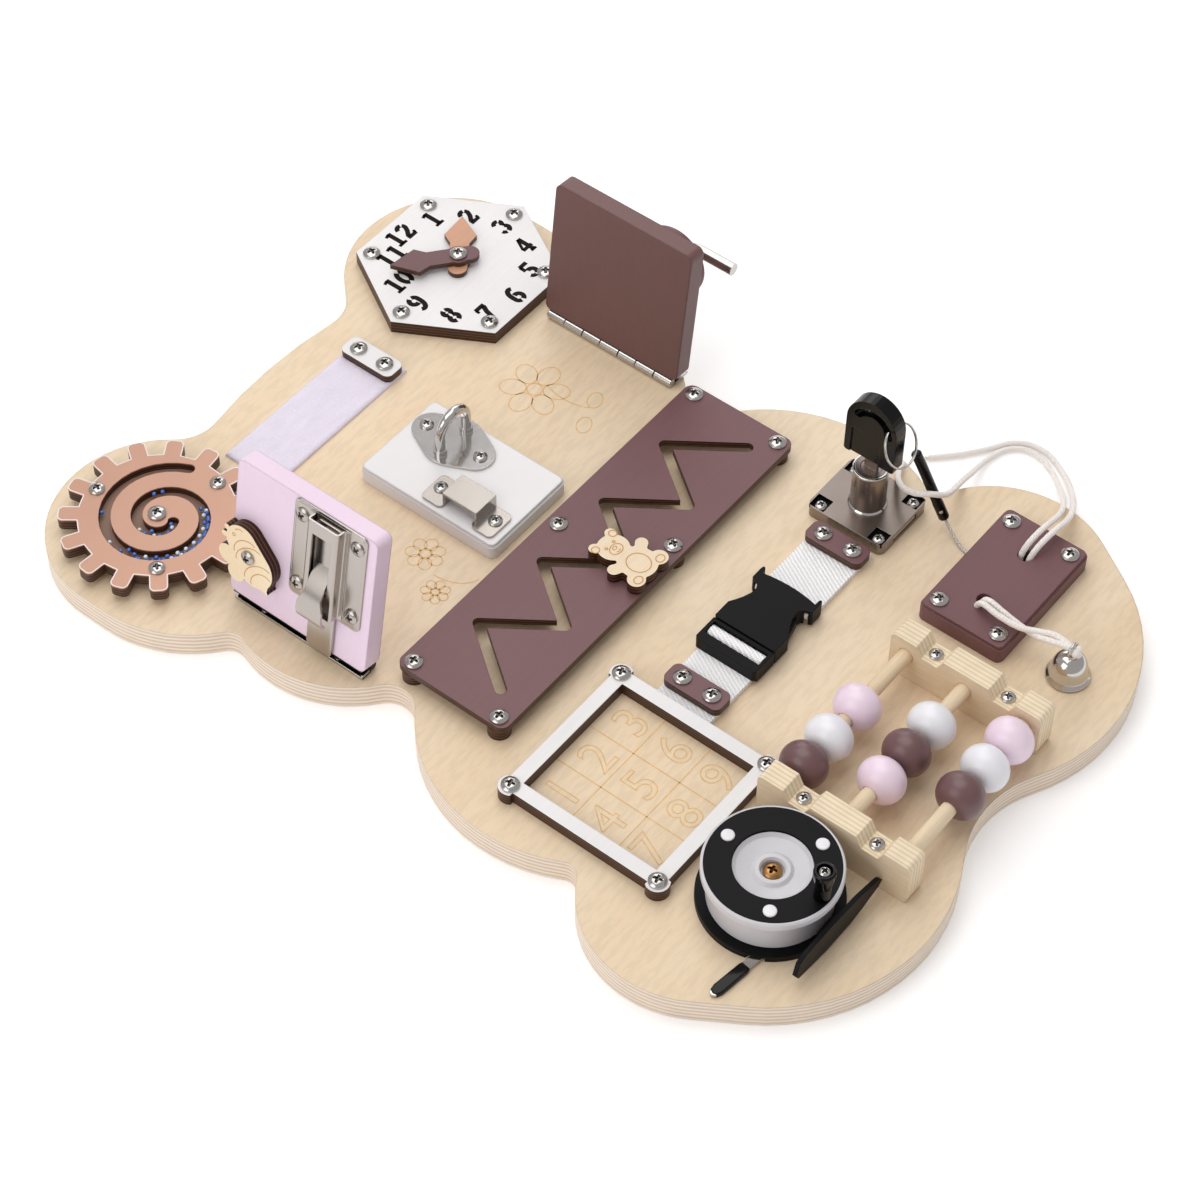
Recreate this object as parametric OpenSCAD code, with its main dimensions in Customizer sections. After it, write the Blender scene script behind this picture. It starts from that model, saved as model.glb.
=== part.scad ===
// Wooden busy board in the shape of a bear: plywood back with gears, doors,
// latches, a lock, a buckle, a bead counter, a reel and a slider track.
// Millimetres. The back lies on Z = 0, +X is the right of the board,
// +Y is its top. Rest pose as it stands in the picture, both doors open.

/* [Board] */
// Width across the feet
board_w = 367.6; // [356:0.2:380]
// Height from the feet to the ears
board_h = 508.4; // [496:0.2:520]
// Thickness of the plywood
board_t = 15; // [9:0.5:18]

/* [Screws] */
// Diameter of a pan head
screw_d = 9.4; // [7:0.2:10]
// Height of a pan head
screw_h = 2.6; // [1.6:0.1:3.4]
// Diameter of the pivot screws' plain shank
pivot_d = 4.6; // [3:0.1:5]

/* [Spiral gear] */
// Place of the gear across the board
gear_x = -118; // [-121:0.5:-116]
// Place of the gear up the board
gear_y = 194.5; // [192.5:0.5:197]
// Number of teeth
gear_teeth = 15; // [13:1:17]
// Radius over the teeth
gear_tip_r = 50.5; // [47:0.5:51]
// Radius at the foot of the teeth
gear_root_r = 40.5; // [38:0.5:42]
// Width of a tooth
tooth_w = 9.4; // [7:0.2:10.4]
// Thickness of the two glued plies
gear_t = 6.2; // [5:0.2:7]
// Thickness of the coloured face
gear_face_t = 0.8; // [0.5:0.1:1.5]
// Height that the spacer lifts the gear
gear_lift = 4.2; // [3:0.2:5]
// Width of the spiral channel
spiral_w = 6.2; // [4.5:0.1:7.5]
// Depth of the spiral channel in the plies
spiral_depth = 4; // [2:0.2:4.6]
// Radial step of the spiral for one turn
spiral_pitch = 16.4; // [14:0.2:17]

/* [Clock] */
// Place of the clock across the board
clock_x = 118; // [115:0.5:120]
// Place of the clock up the board
clock_y = 192.3; // [190:0.5:194]
// Side of the hexagonal dial
dial_side = 56.6; // [52:0.2:58]
// Thickness of the dial
dial_t = 8; // [6:0.5:10]
// Thickness of each hand
hand_t = 3; // [2:0.2:4]
// Length of the hour hand from the pivot
hour_len = 33; // [28:0.5:35]
// Length of the minute hand from the pivot
minute_len = 37.5; // [33:0.5:40]
// Width of a hand's bar
hand_w = 10.6; // [8.5:0.2:12]

/* [Fabric tape with clamp] */
// Length of the tape
tape_len = 104; // [96:1:110]
// Width of the tape
tape_w = 35; // [28:0.5:37]
// Thickness of the tape
tape_t = 2.2; // [1.5:0.1:3]
// Length of a clamp plate across the tape
clamp_len = 34.5; // [30:0.5:37]
// Width of a clamp plate
clamp_w = 13.4; // [12:0.2:15]
// Thickness of a clamp plate
clamp_t = 4.6; // [3:0.2:6]

/* [Doors] */
// Length of a door along its hinge
door_len = 88.5; // [84:0.5:91]
// Height of a door from its foot to its free edge
door_h = 85; // [80:0.5:86]
// Thickness of a door
door_t = 10.5; // [9:0.5:12]
// Hinge line of the left door
left_axis_x = -118.6; // [-120:0.2:-118]
// Hinge line of the right door
right_axis_x = 123.7; // [122.5:0.2:125]
// Middle of both doors up the board
door_y = 91.8; // [91:0.2:93]
// Lean of the left door at rest
left_lean = 10.8; // [6:0.2:14]
// Lean of the right door at rest
right_lean = 6.5; // [3:0.1:7.5]
// Radius of a hinge knuckle
knuckle_r = 2.4; // [2:0.1:2.6]
// Thickness of a hinge leaf
leaf_t = 1.1; // [0.8:0.1:1.4]
// Diameter of a hinge pin
pin_d = 2; // [1.4:0.1:2.2]

/* [Door latch] */
// Length of the latch plate
latch_len = 61; // [56:0.5:62]
// Width of the latch plate
latch_w = 46; // [44:0.5:47]
// Thickness of the sheet metal
sheet_t = 1.2; // [0.9:0.1:1.5]
// Width of the raised channel
channel_w = 19.6; // [19:0.2:22]
// Height of the raised channel
channel_h = 7.6; // [7:0.2:8.4]
// Width of the sliding tongue
tongue_w = 16; // [14:0.2:17]
// Thickness of the sliding tongue
tongue_t = 2.2; // [1.6:0.1:2.6]
// Length of the sliding tongue
tongue_len = 82; // [78:0.5:84]
// Width of the curled thumb tab
tab_w = 11; // [8:0.2:12]

/* [Bee] */
// Length of the bee's body
bee_len = 36; // [30:0.5:38]
// Width of the bee's body
bee_w = 24; // [20:0.5:26]
// Thickness of the bee
bee_t = 6.4; // [5:0.2:7]

/* [Lever on the right door] */
// Radius of the round plate
disc_r = 20; // [16:0.5:22]
// Thickness of the round plate
disc_t = 5.6; // [4:0.2:7]
// Diameter of the bent rod
lever_d = 6.8; // [5:0.2:8]
// Height of the rod above the plate
lever_rise = 15; // [13:0.5:18]
// Reach of the bent arm
lever_len = 28; // [22:0.5:30]

/* [Middle block] */
// Width of the block
block_w = 60.2; // [58:0.2:61]
// Length of the block
block_len = 89.2; // [86:0.2:90]
// Height of the block
block_h = 9.8; // [8:0.2:10.4]
// Length of the oval eye plate
eye_len = 50.4; // [46:0.2:54]
// Width of the oval eye plate
eye_w = 34; // [30:0.2:35]
// Diameter of the eye's rod
eye_rod_d = 5.4; // [4:0.2:6]
// Height of the eye above its plate
eye_h = 25.5; // [22:0.5:28]
// Inner width of the eye
eye_gap = 15.4; // [13:0.2:17]
// Width of the latch catch
catch_w = 16; // [12:0.5:18]
// Spacing of the catch's screws
catch_span = 36; // [34:0.5:37]

/* [Slider track] */
// Length of the track plate
track_len = 239; // [230:0.5:242]
// Width of the track plate
track_w = 68; // [64:0.5:70]
// Thickness of the track plate
track_t = 4; // [3:0.2:4.6]
// Height of the spacers below the track plate
track_lift = 7; // [6:0.2:8]
// Width of the slot
slot_w = 6.2; // [5:0.1:7]
// Horizontal step of one leg of the slot
slot_step = 25.2; // [24:0.1:26]
// Rise of one leg of the slot
slot_rise = 34.5; // [31:0.5:36]
// Thickness of the sliding bear
slider_t = 6; // [4:0.2:7]
// Height of the sliding bear
slider_h = 39.6; // [34:0.2:40]

/* [Number frame] */
// Width of the frame
frame_w = 92; // [88:0.5:94]
// Height of the frame
frame_h = 95.5; // [92:0.5:98]
// Width of a bar
frame_bar = 7.8; // [6:0.2:9]
// Thickness of the frame
frame_t = 7.5; // [5:0.5:9]

/* [Buckle strap] */
// Thickness of the webbing
web_t = 1.6; // [1.2:0.1:2]
// Width of the webbing
web_w = 32.4; // [28:0.2:32.6]
// Width of the buckle
buckle_w = 37; // [36.8:0.2:39]
// Thickness of the buckle
buckle_t = 10; // [9:0.2:11]
// Length of the buckle's socket half
socket_len = 40.8; // [40:0.2:42]
// Length of the body of the buckle's pronged half
plug_len = 16; // [15.8:0.2:17]
// Reach of the prongs into the socket
prong_len = 26; // [24:0.2:26]

/* [Lock] */
// Width of the lock case
case_w = 41.4; // [40:0.2:43]
// Length of the lock case
case_len = 47; // [45:0.2:49]
// Height of the lock case
case_h = 7.5; // [7:0.1:9]
// Diameter of the barrel
barrel_d = 18.6; // [17:0.2:20]
// Height of the barrel above the case
barrel_h = 27; // [22:0.5:29]
// Height of the key's grip
grip_h = 41; // [36:0.5:43]
// Width of the key's grip
grip_w = 30; // [26:0.5:32]
// Thickness of the key's grip
grip_t = 8.4; // [6:0.2:9]
// Mean radius of the key ring
ring_r = 11.6; // [10:0.2:12.5]

/* [Lacing block] */
// Width of the block
lace_w = 81.2; // [78:0.2:83]
// Length of the block
lace_len = 49.8; // [48:0.2:51]
// Height of the block
lace_h = 11; // [9:0.5:12.5]
// Diameter of the lacing holes
lace_hole_d = 8; // [7.6:0.1:9]

/* [Bead counter] */
// Gap between the two brackets
counter_gap = 97; // [94:0.5:99]
// Width of a bracket
bracket_w = 13; // [11:0.5:14]
// Length of a bracket
bracket_len = 87; // [84:0.5:88]
// Height of a bracket
bracket_h = 27.5; // [25:0.5:29]
// Diameter of a dowel
dowel_d = 8; // [6:0.2:8.6]
// Diameter of a bead
bead_d = 25; // [22:0.2:25.6]
// Length of a bead along its dowel
bead_len = 20; // [18:0.2:20.2]
// Height of the dowels above the board
dowel_z = 17; // [16:0.5:18.5]

/* [Reel] */
// Radius of the reel's face
reel_r = 33.8; // [32:0.2:34.4]
// Height of the reel above the board
reel_h = 27.4; // [25:0.2:29]
// Inner radius of the black face ring
dish_r = 18.9; // [17:0.1:20]
// Length of the reel's foot
foot_len = 68; // [60:1:70]
// Height of the handle knob
knob_h = 20; // [17:0.5:21]

/* [Hidden] */
$fn = 64;
// Running clearance between pieces that move
gap = 0.3;
// Overrun of a cut past the face that it opens
over = 1;
// Radius of small rounded corners
soft_r = 3;
top_z = board_t;

// Outline circles of one side: x, y and radius
hx = board_w / 2;
hy = board_h / 2;
ear_share = [0.6306, 0.7672, 0.3221];
brow_share = [0.5675, 0.7062, 0.3852];
cheek_share = [0.4668, 0.3588, 0.3428];
arm_share = [0.4010, -0.2062, 0.4750];
foot_share = [0.6834, -0.6146, 0.3166];
heel_share = [0.4304, -0.6182, 0.5277];
crown_share = 1.5234;
crown_top_share = 0.8868;
fillet_shares = [0.130, 0.053, 0.079, 0.042, 0.336];

// Clearance and wear parts
pivot_gap = 0.25;
gear_z = top_z + gear_lift + gap;
gear_top = gear_z + gear_t + gear_face_t;
spacer_r = 12;
tooth_round = 3;
gear_turn = 8;
spiral_x = 0.3;
spiral_y = -3.5;
spiral_r = 35.4;
spiral_from = 20;
spiral_to = 640;
spiral_step = 10;
gear_screw_r = 36;
gear_screw_angles = [101, 344, 223];

dial_top = top_z + dial_t;
dial_screw_r = 48;
hour_angle = 36;
minute_angle = 141;
hour_z = dial_top + gap;
minute_z = hour_z + hand_t + gap;
hand_tail = 6.4;
hand_head = 11;
hand_barb = 3.6;
hand_bore = pivot_d + 2 * pivot_gap;

tape_x = -60;
tape_y = 184.3;
clamp_hook_x = 36.3;
clamp_left_x = -32.8;
clamp_right_x = 85.2;
strap_y = -84.4;
clamp_screw_dy = 9;
clamp_r = 4;

knuckles = 7;
axis_z = top_z + knuckle_r + gap;
door_u = knuckle_r + gap;
door_v = -0.5;
leaf_len = 84;
leaf_reach = 7;
base_reach = 11;
door_round = 4;
pin_gap = 0.15;
knuckle_gap = 0.3;

latch_u = door_u + door_h - latch_len - gap;
latch_y = -16;
latch_hole_du = 22;
latch_hole_dy = 17.4;
channel_len = 56;
tongue_u = 1.4;
tongue_gap = 0.5;
slot_from = 44;
slot_len = 34;
tab_from = 57;
tab_rise = 12;
tab_t = 1.4;

tab_run = -31;
tab_shares = [[0, 0.1], [0.08, 0.3], [0.18, 0.5], [0.3, 0.68], [0.43, 0.84], [0.57, 0.95],
  [0.73, 1], [0.87, 0.97], [0.96, 0.86], [1, 0.72]];
bee_y = 28.4;
bee_u = 37;
bee_turn = 38;
wing_r = 7.4;
wing_out = 15;
sting_r = 1.6;
bee_screw_d = 8;
bee_lift = 0.3;

disc_u = 65;
disc_y = -22.8;
lever_seat = 1.6;
lever_bend = 7;
lever_gap = 0.25;

block_x = 1.6;
block_y = 92.6;
block_top = top_z + block_h;
block_r = 4;
block_edge = 2;
plate_t = 1.6;
eye_x = 14.3;
eye_y = 109.4;
eye_turn = 90;
eye_hole_d = 18;
collar_h = 3;
collar_extra = 1.6;
catch_x = -14.4;
catch_y = door_y + latch_y;
catch_rise = 8.6;
catch_inner = 19;
catch_foot = 10.4;
catch_foot_share = 1.16;
catch_shift = 1.2;

track_x = 4.6;
track_y = 4.7;
track_z = top_z + track_lift;
track_top = track_z + track_t;
track_r = 5;
track_screws = [[-113.9, 27], [-0.4, 27], [113.6, 27],
  [-113.9, -27], [24.6, -27], [113.6, -27]];
track_spacer_r = 6;
slot_x = 5.2;
slot_y = -12;
slot_legs = 4;
pin_flange_d = 11;
pin_flange_t = 2;
slider_bore = 4.4;
slider_soft = 1.2;
slider_shares = [[0.00, 0.235, 0.215], [0.00, -0.165, 0.255],
  [-0.165, 0.415, 0.075], [0.165, 0.415, 0.075],
  [-0.285, 0.005, 0.085], [0.285, 0.005, 0.085],
  [-0.235, -0.315, 0.120], [0.235, -0.315, 0.120]];

frame_x = -92.3;
frame_y = -94.6;
lug_r = 6.2;
lug_dx = 43;
lug_dy = 44.2;

web_x0 = -45.5;
plug_x0 = -10.6;
plug_x1 = plug_x0 + plug_len;
socket_x0 = plug_x1 + gap;
socket_x1 = socket_x0 + socket_len;
buckle_z = top_z + 1.8;
buckle_mid = buckle_z + buckle_t / 2;
buckle_y = -84.4;
bar_d = 3.4;
wall = 2;
prong_w = 4.8;
prong_t = 4.4;
prong_y = 12.6;
guide_w = 4;
slot_gap = 6.4;
buckle_wall = 2;
side_wall = 1.8;
end_bar_w = 5.6;
end_bar_z = top_z + 2 * web_t + 0.3;
frame_top = buckle_z + 9;
bar_z = buckle_z + 4.2;
plug_bar_x = plug_x0 + 10.2;
socket_bar_x = socket_x1 - 5.6;
block_share = 0.74;
socket_half_shares = [[0, 0.97], [0.02, 1], [0.28, 1], [0.31, 0.96], [0.37, 0.88], [0.46, 0.78],
  [0.56, 0.7], [0.65, 0.68], [0.71, 0.72], [0.745, 0.8], [0.76, 0.94], [0.78, 1], [0.95, 1], [0.985, 0.985],
  [1, 0.95], [0.99, 0.91], [0.96, 0.893], [0.9, 0.89], [0.925, 0.6], [0.94, 0.3], [0.945, 0.1]];

case_x = 117.2;
case_y = -80.3;
case_top = top_z + case_h;
case_r = 4;
pocket_w = 9;
pocket_dx = 15.4;
pocket_dy = 18;
pocket_depth = 2.4;
bolt_w = 20;
bolt_t = 3;
bolt_len = 16;
bolt_z = 2.6;
bolt_gap = 0.4;
bore_d = 11.4;
plug_gap = 0.25;
blade_w = 7.6;
blade_t = 2;
blade_h = 8;
grip_z = case_top + barrel_h + blade_h;
ring_at = [-0.32, 0.7];
ring_wire = 1.8;
ring_lean = -30;
grip_side = 0.6;
grip_arch = concat([[-0.5, 0.02], [-0.46, 0], [0.46, 0], [0.5, 0.02]],
  [for (a = [0:10:180]) [0.5 * cos(a), grip_side + (1 - grip_side) * sin(a)]]);
slot_r = 10.2;
slot_half = 2.3;
slot_mid = 0.58;
panel_d = 0.9;
sleeve_d = 5.8;
wire_d = 1.8;

lace_x = 116.6;
lace_y = -164.6;
lace_top = top_z + lace_h;
lace_r = 4;
lace_screw_dx = 32.6;
lace_screw_dy = 17.6;
lace_hole_dx = 18.5;
lace_chan_h = 5;
cord_d = 3.2;
bell_r = 10.6;
bell_wall = 0.8;
bell_x = 92;
bell_y = -219.5;

counter_x = -7.9;
counter_y = -190.5;
row_step = 34.3;
dip_dy = 21;
dip_r = 7.4;
dip_depth = 6.4;
dowel_in = 6;
dowel_gap = 0.15;
bead_bore = dowel_d + 2 * gap;
dowel_mid = top_z + dowel_z;
row_1 = [-44.1, -23.8, -0.3];
row_2 = [-28.6, -8, 12.9];
row_3 = [-12.6, 7.9, 28.9];

reel_x = -105.7;
reel_y = -182.5;
reel_top = top_z + reel_h;
base_r = 35.6;
base_h = 4;
drum_r = 30.6;
rim_h = 4.4;
face_t = 1.6;
face_in = 1.4;
dish_drop = 4.6;
hub_r = 8.4;
cup_r = 5.6;
cup_drop = 6.4;
spindle_d = 6;
rivet_ring = 26;
rivet_d = 6.4;
rivet_h = 0.6;
knob_ring = 27.8;
knob_r = 5.4;
knob_neck = 4.2;
knob_pin = 3.2;
knob_cup = 2.4;
foot_h = 17;
foot_t = 2.4;
foot_y = -37.2;
foot_x = 1.2;
foot_z = 2;
stem_w = 20;
stem_h = 10;
foot_shares = [[-0.5, -0.1], [-0.47, -0.3], [-0.3, -0.42], [-0.16, -0.5], [0.14, -0.5], [0.28, -0.4],
  [0.46, -0.2], [0.5, -0.04], [0.46, 0.14], [0.2, 0.4], [-0.1, 0.5], [-0.4, 0.5], [-0.47, 0.36]];
rivet_angles = [90, 213, 334];
check_len = 33;
check_w = 5;
check_t = 2;
check_x = -26;
check_y = -16;
check_turn = 172;
check_swing = 8;

// Cord routes, hand placed
route_a = [[134.9, -167, 18], [135.3, -167.2, 24.5], [138.6, -168.5, 30.8], [145.6, -169.8, 34],
  [154.5, -170.3, 33.4], [165, -169.4, 28.8], [178, -165.6, 21.4], [191, -159, 13.6], [204, -149.5, 6],
  [213.4, -139.5, 1.9], [219.2, -127, 1.8], [218.8, -115, 1.8], [212.5, -106, 1.8], [202, -99.5, 1.8],
  [190, -90.5, 1.8], [178, -79, 1.8]];
route_b = [[134.9, -162.2, 18], [135.3, -162.3, 24.5], [138.6, -163.4, 30.8], [145.6, -164.6, 34],
  [154.5, -165.2, 33.4], [165, -164.2, 28.6], [177, -160.5, 21], [190, -153.5, 12.5], [202, -144, 5],
  [210, -135, 1.8], [214.6, -125, 1.8], [214.2, -115, 1.8], [208, -107.4, 1.8], [198, -104.2, 2],
  [188, -103.8, 4], [177, -105.6, 9.4], [164.6, -108.1, 17], [152.4, -111, 24.4], [141, -114, 32.5],
  [132, -115.2, 39.5], [125.6, -111.6, 43.4], [122.6, -104.6, 41.6], [125.4, -95.5, 36.6],
  [134, -87, 30], [145, -80.5, 22.2], [153, -77.6, 17.9]];
route_bell = [[96, -164.6, 18], [96, -164.8, 26], [95.4, -168.6, 31], [94, -178, 30.6], [92.4, -190, 30],
  [91, -200, 31.5], [90.6, -206.6, 33.8]];
route_wire = [[132.6, -117.8, 22.6], [131.2, -121.6, 19.6], [128.6, -127.6, 17.4],
  [126.2, -133.4, 16.2], [125, -139.4, 16]];
route_sleeve = [[126, -99.5, 66.4], [127.4, -103, 58], [129.4, -107.6, 46],
  [131.2, -112.4, 34], [132.6, -117.2, 23]];

arc_step = 6;
small_r = 5;
small_step = 18;
weld = 0.01;

// Geometry helpers
function unit(v) = v / norm(v);
function spline(p, i, t) = let(a = p[max(i - 1, 0)], b = p[i], c = p[i + 1],
  d = p[min(i + 2, len(p) - 1)]) 0.5 * ((2 * b) + (c - a) * t
  + (2 * a - 5 * b + 4 * c - d) * t * t + (3 * b - a - 3 * c + d) * t * t * t);
function fine(p, n) = concat([for (i = [0:len(p) - 2], k = [0:n - 1])
  spline(p, i, k / n)], [p[len(p) - 1]]);
function frame_of(p, i) = let(t = unit(p[min(i + 1, len(p) - 1)] - p[max(i - 1, 0)]),
  s = unit(cross(t, abs(t.z) > 0.9 ? [0, 1, 0] : [0, 0, 1]))) [s, cross(s, t)];
function fillet_at(a, ra, b, rb, rf, side) = let(d = norm(b - a), u = (b - a) / d,
  p = ra + rf, q = rb + rf, m = (d * d + p * p - q * q) / (2 * d),
  h = sqrt(max(p * p - m * m, 0))) a + u * m + side * h * [-u.y, u.x];
function pick(s) = [s[0] * hx, s[1] * hy];
function pick_r(s) = s[2] * hx;

module tube(p, d, sides) {
  n = len(p);
  ring = [for (i = [0:n - 1], k = [0:sides - 1]) let(f = frame_of(p, i),
    a = 360 * k / sides) p[i] + d / 2 * (f[0] * cos(a) + f[1] * sin(a))];
  faces = concat([[for (k = [0:sides - 1]) k]],
    [for (i = [0:n - 2], k = [0:sides - 1]) let(a = i * sides + k,
      b = i * sides + (k + 1) % sides) [a, a + sides, b]],
    [for (i = [0:n - 2], k = [0:sides - 1]) let(a = i * sides + k,
      b = i * sides + (k + 1) % sides) [b, a + sides, b + sides]],
    [[for (k = [sides - 1:-1:0]) (n - 1) * sides + k]]);
  polyhedron(ring, faces);
}

// Two circles with the outer tangents between them
module link(a, ra, b, rb) {
  d = norm(b - a);
  u = (b - a) / d;
  s = (ra - rb) / d;
  c = sqrt(1 - s * s);
  n1 = [u.x * s - u.y * c, u.y * s + u.x * c];
  n2 = [u.x * s + u.y * c, u.y * s - u.x * c];
  translate(a) circle(ra);
  translate(b) circle(rb);
  polygon([a + n1 * ra, a + n2 * ra, b + n2 * rb, b + n1 * rb]);
}

// Rectangle about the origin with round corners
module pad(w, l, r) {
  square([w - 2 * r, l], center = true);
  square([w, l - 2 * r], center = true);
  for (i = [-1, 1], j = [-1, 1]) translate([i * (w / 2 - r), j * (l / 2 - r)]) circle(r);
}

module slab(w, l, r, h) {
  linear_extrude(h) pad(w, l, r);
}

// Domed screw head standing on its seat
module pan(d, h) {
  rotate_extrude() polygon([[0, 0], [d / 2, 0], [d / 2, h * 0.35], [d * 0.42, h * 0.7],
    [d * 0.27, h * 0.93], [0, h]]);
}

function angle_to(a, b) = atan2(b.y - a.y, b.x - a.x);
function fall(a0, a1) = a1 > a0 ? a1 - 360 : a1;
function climb(a0, a1) = a1 < a0 ? a1 + 360 : a1;
function arc(c, r, a0, a1) = let(step = r < small_r ? small_step : arc_step,
  n = max(2, ceil(abs(a1 - a0) / step)))
  [for (i = [0:n]) c + r * [cos(a0 + (a1 - a0) * i / n), sin(a0 + (a1 - a0) * i / n)]];
function bulge(c, r, a0, a1) = arc(c, r, a0, fall(a0, a1));
function hollow(c, r, a0, a1) = arc(c, r, a0, climb(a0, a1));
function tangent_angle(a, ra, b, rb) = let(u = unit(b - a), s = (ra - rb) / norm(b - a),
  n = u * s + [-u.y, u.x] * sqrt(1 - s * s)) atan2(n.y, n.x);
function joined(lists) = [for (l = lists, p = l) p];

// One side of the bear, from the forehead down to the gap between the feet
function side_outline() = let(ear = pick(ear_share), brow = pick(brow_share),
  cheek = pick(cheek_share), arm = pick(arm_share), foot = pick(foot_share),
  heel = pick(heel_share), crown = [0, crown_top_share * hy - crown_share * hx],
  re = pick_r(ear_share), rb = pick_r(brow_share), rc = pick_r(cheek_share),
  ra = pick_r(arm_share), rf = pick_r(foot_share), rh = pick_r(heel_share),
  rn = crown_share * hx, q = fillet_shares * hx,
  f1 = fillet_at(ear, re, crown, rn, q[0], -1), f2 = fillet_at(brow, rb, cheek, rc, q[1], 1),
  f3 = fillet_at(cheek, rc, arm, ra, q[2], 1), f4 = fillet_at(arm, ra, foot, rf, q[3], 1),
  f5 = fillet_at(heel, rh, [-heel.x, heel.y], rh, q[4], 1),
  t1 = tangent_angle(ear, re, brow, rb), t2 = tangent_angle(foot, rf, heel, rh))
  joined([bulge(crown, rn, 90, angle_to(crown, f1)),
    hollow(f1, q[0], angle_to(f1, crown), angle_to(f1, ear)),
    bulge(ear, re, angle_to(ear, f1), t1), bulge(brow, rb, t1, angle_to(brow, f2)),
    hollow(f2, q[1], angle_to(f2, brow), angle_to(f2, cheek)),
    bulge(cheek, rc, angle_to(cheek, f2), angle_to(cheek, f3)),
    hollow(f3, q[2], angle_to(f3, cheek), angle_to(f3, arm)),
    bulge(arm, ra, angle_to(arm, f3), angle_to(arm, f4)),
    hollow(f4, q[3], angle_to(f4, arm), angle_to(f4, foot)),
    bulge(foot, rf, angle_to(foot, f4), t2), bulge(heel, rh, t2, angle_to(heel, f5)),
    hollow(f5, q[4], angle_to(f5, heel), 90)]);

function clean(p) = [for (i = [0:len(p) - 1]) if (i == 0 || norm(p[i] - p[i - 1]) > weld) p[i]];

module board() color([0.92, 0.83, 0.71]) {
  one = clean(side_outline());
  n = len(one);
  linear_extrude(board_t) polygon(concat(one, [for (i = [n - 2:-1:1]) [-one[i].x, one[i].y]]));
}

module at(x, y, z) {
  translate([x, y, z]) children();
}

// Every steel head that is driven into the board
module screws() color([0.72, 0.71, 0.7]) {
  head_z = gear_top + gap;
  at(gear_x, gear_y, head_z) pan(screw_d, screw_h);
  at(gear_x, gear_y, top_z + gear_lift) cylinder(d = pivot_d, h = head_z - top_z - gear_lift);
  at(clock_x, clock_y, dial_top) cylinder(d = pivot_d, h = minute_z + hand_t + gap - dial_top);
  at(clock_x, clock_y, minute_z + hand_t + gap) pan(screw_d, screw_h);
  for (k = [0:5]) at(clock_x + dial_screw_r * cos(60 * k), clock_y + dial_screw_r * sin(60 * k),
    dial_top) pan(screw_d, screw_h);
  for (p = track_screws) at(track_x + p.x, track_y + p.y, track_top) pan(screw_d, screw_h);
  for (i = [-1, 1], j = [-1, 1]) at(frame_x + i * lug_dx, frame_y + j * lug_dy,
    top_z + frame_t) pan(screw_d, screw_h);
  for (j = [-1, 1]) {
    at(clamp_hook_x, tape_y + j * clamp_screw_dy, top_z + tape_t + clamp_t) pan(screw_d, screw_h);
    at(clamp_left_x, strap_y + j * clamp_screw_dy, top_z + 2 * web_t + clamp_t) pan(screw_d, screw_h);
    at(clamp_right_x, strap_y + j * clamp_screw_dy, top_z + 2 * web_t + clamp_t) pan(screw_d, screw_h);
    at(catch_x, catch_y + j * catch_span / 2, block_top + plate_t) pan(screw_d * 0.8, screw_h * 0.8);
    at(eye_x, eye_y + j * eye_hole_d, block_top + plate_t) pan(screw_d * 0.8, screw_h * 0.8);
  }
  for (i = [-1, 1], j = [-1, 1]) {
    at(lace_x + i * lace_screw_dx, lace_y + j * lace_screw_dy, lace_top) pan(screw_d, screw_h);
    at(case_x + i * pocket_dx, case_y + j * pocket_dy, case_top - pocket_depth)
      pan(screw_d * 0.75, screw_h * 0.75);
    at(counter_x + i * (counter_gap + bracket_w) / 2, counter_y + j * dip_dy,
      top_z + bracket_h - dip_depth) pan(screw_d * 0.8, screw_h * 0.8);
  }
  at(reel_x, reel_y, reel_top - cup_drop + gap) pan(screw_d, screw_h);
}

module spacers() color([0.3, 0.17, 0.1]) {
  at(gear_x, gear_y, top_z) cylinder(r = spacer_r, h = gear_lift);
  for (p = track_screws) at(track_x + p.x, track_y + p.y, top_z)
    cylinder(r = track_spacer_r, h = track_lift);
}

// One tooth and the arc at the root that leads to the next
function tooth(turn) = let(half = tooth_w / 2, foot = asin(half / gear_root_r),
  pitch = 360 / gear_teeth, mid = gear_tip_r - tooth_round, side = half - tooth_round)
  [for (p = concat([gear_root_r * [cos(foot), -sin(foot)]],
    arc([mid, -side], tooth_round, -90, 0), arc([mid, side], tooth_round, 0, 90),
    arc([0, 0], gear_root_r, foot, pitch - foot - arc_step)))
    [p.x * cos(turn) - p.y * sin(turn), p.x * sin(turn) + p.y * cos(turn)]];

module gear_outline() {
  polygon(joined([for (k = [0:gear_teeth - 1]) tooth(gear_turn + 360 * k / gear_teeth)]));
}

function spiral_point(a, side) = let(r = spiral_r - spiral_pitch * a / 360)
  [spiral_x + (r + side * spiral_w / 2) * cos(a), spiral_y + (r + side * spiral_w / 2) * sin(a)];

module spiral() {
  polygon(clean(concat([for (a = [spiral_from:spiral_step:spiral_to]) spiral_point(a, 1)],
    arc(spiral_point(spiral_to, 0), spiral_w / 2, spiral_to, spiral_to + 180),
    [for (a = [spiral_to:-spiral_step:spiral_from]) spiral_point(a, -1)],
    arc(spiral_point(spiral_from, 0), spiral_w / 2, spiral_from + 180, spiral_from + 360 - arc_step))));
}

module gear() color([0.3, 0.17, 0.1]) translate([gear_x, gear_y, gear_z]) difference() {
  linear_extrude(gear_t) gear_outline();
  translate([0, 0, gear_t - spiral_depth]) linear_extrude(spiral_depth + over) spiral();
  translate([0, 0, -over]) cylinder(d = pivot_d + 2 * pivot_gap, h = gear_t + 2 * over);
}

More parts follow.
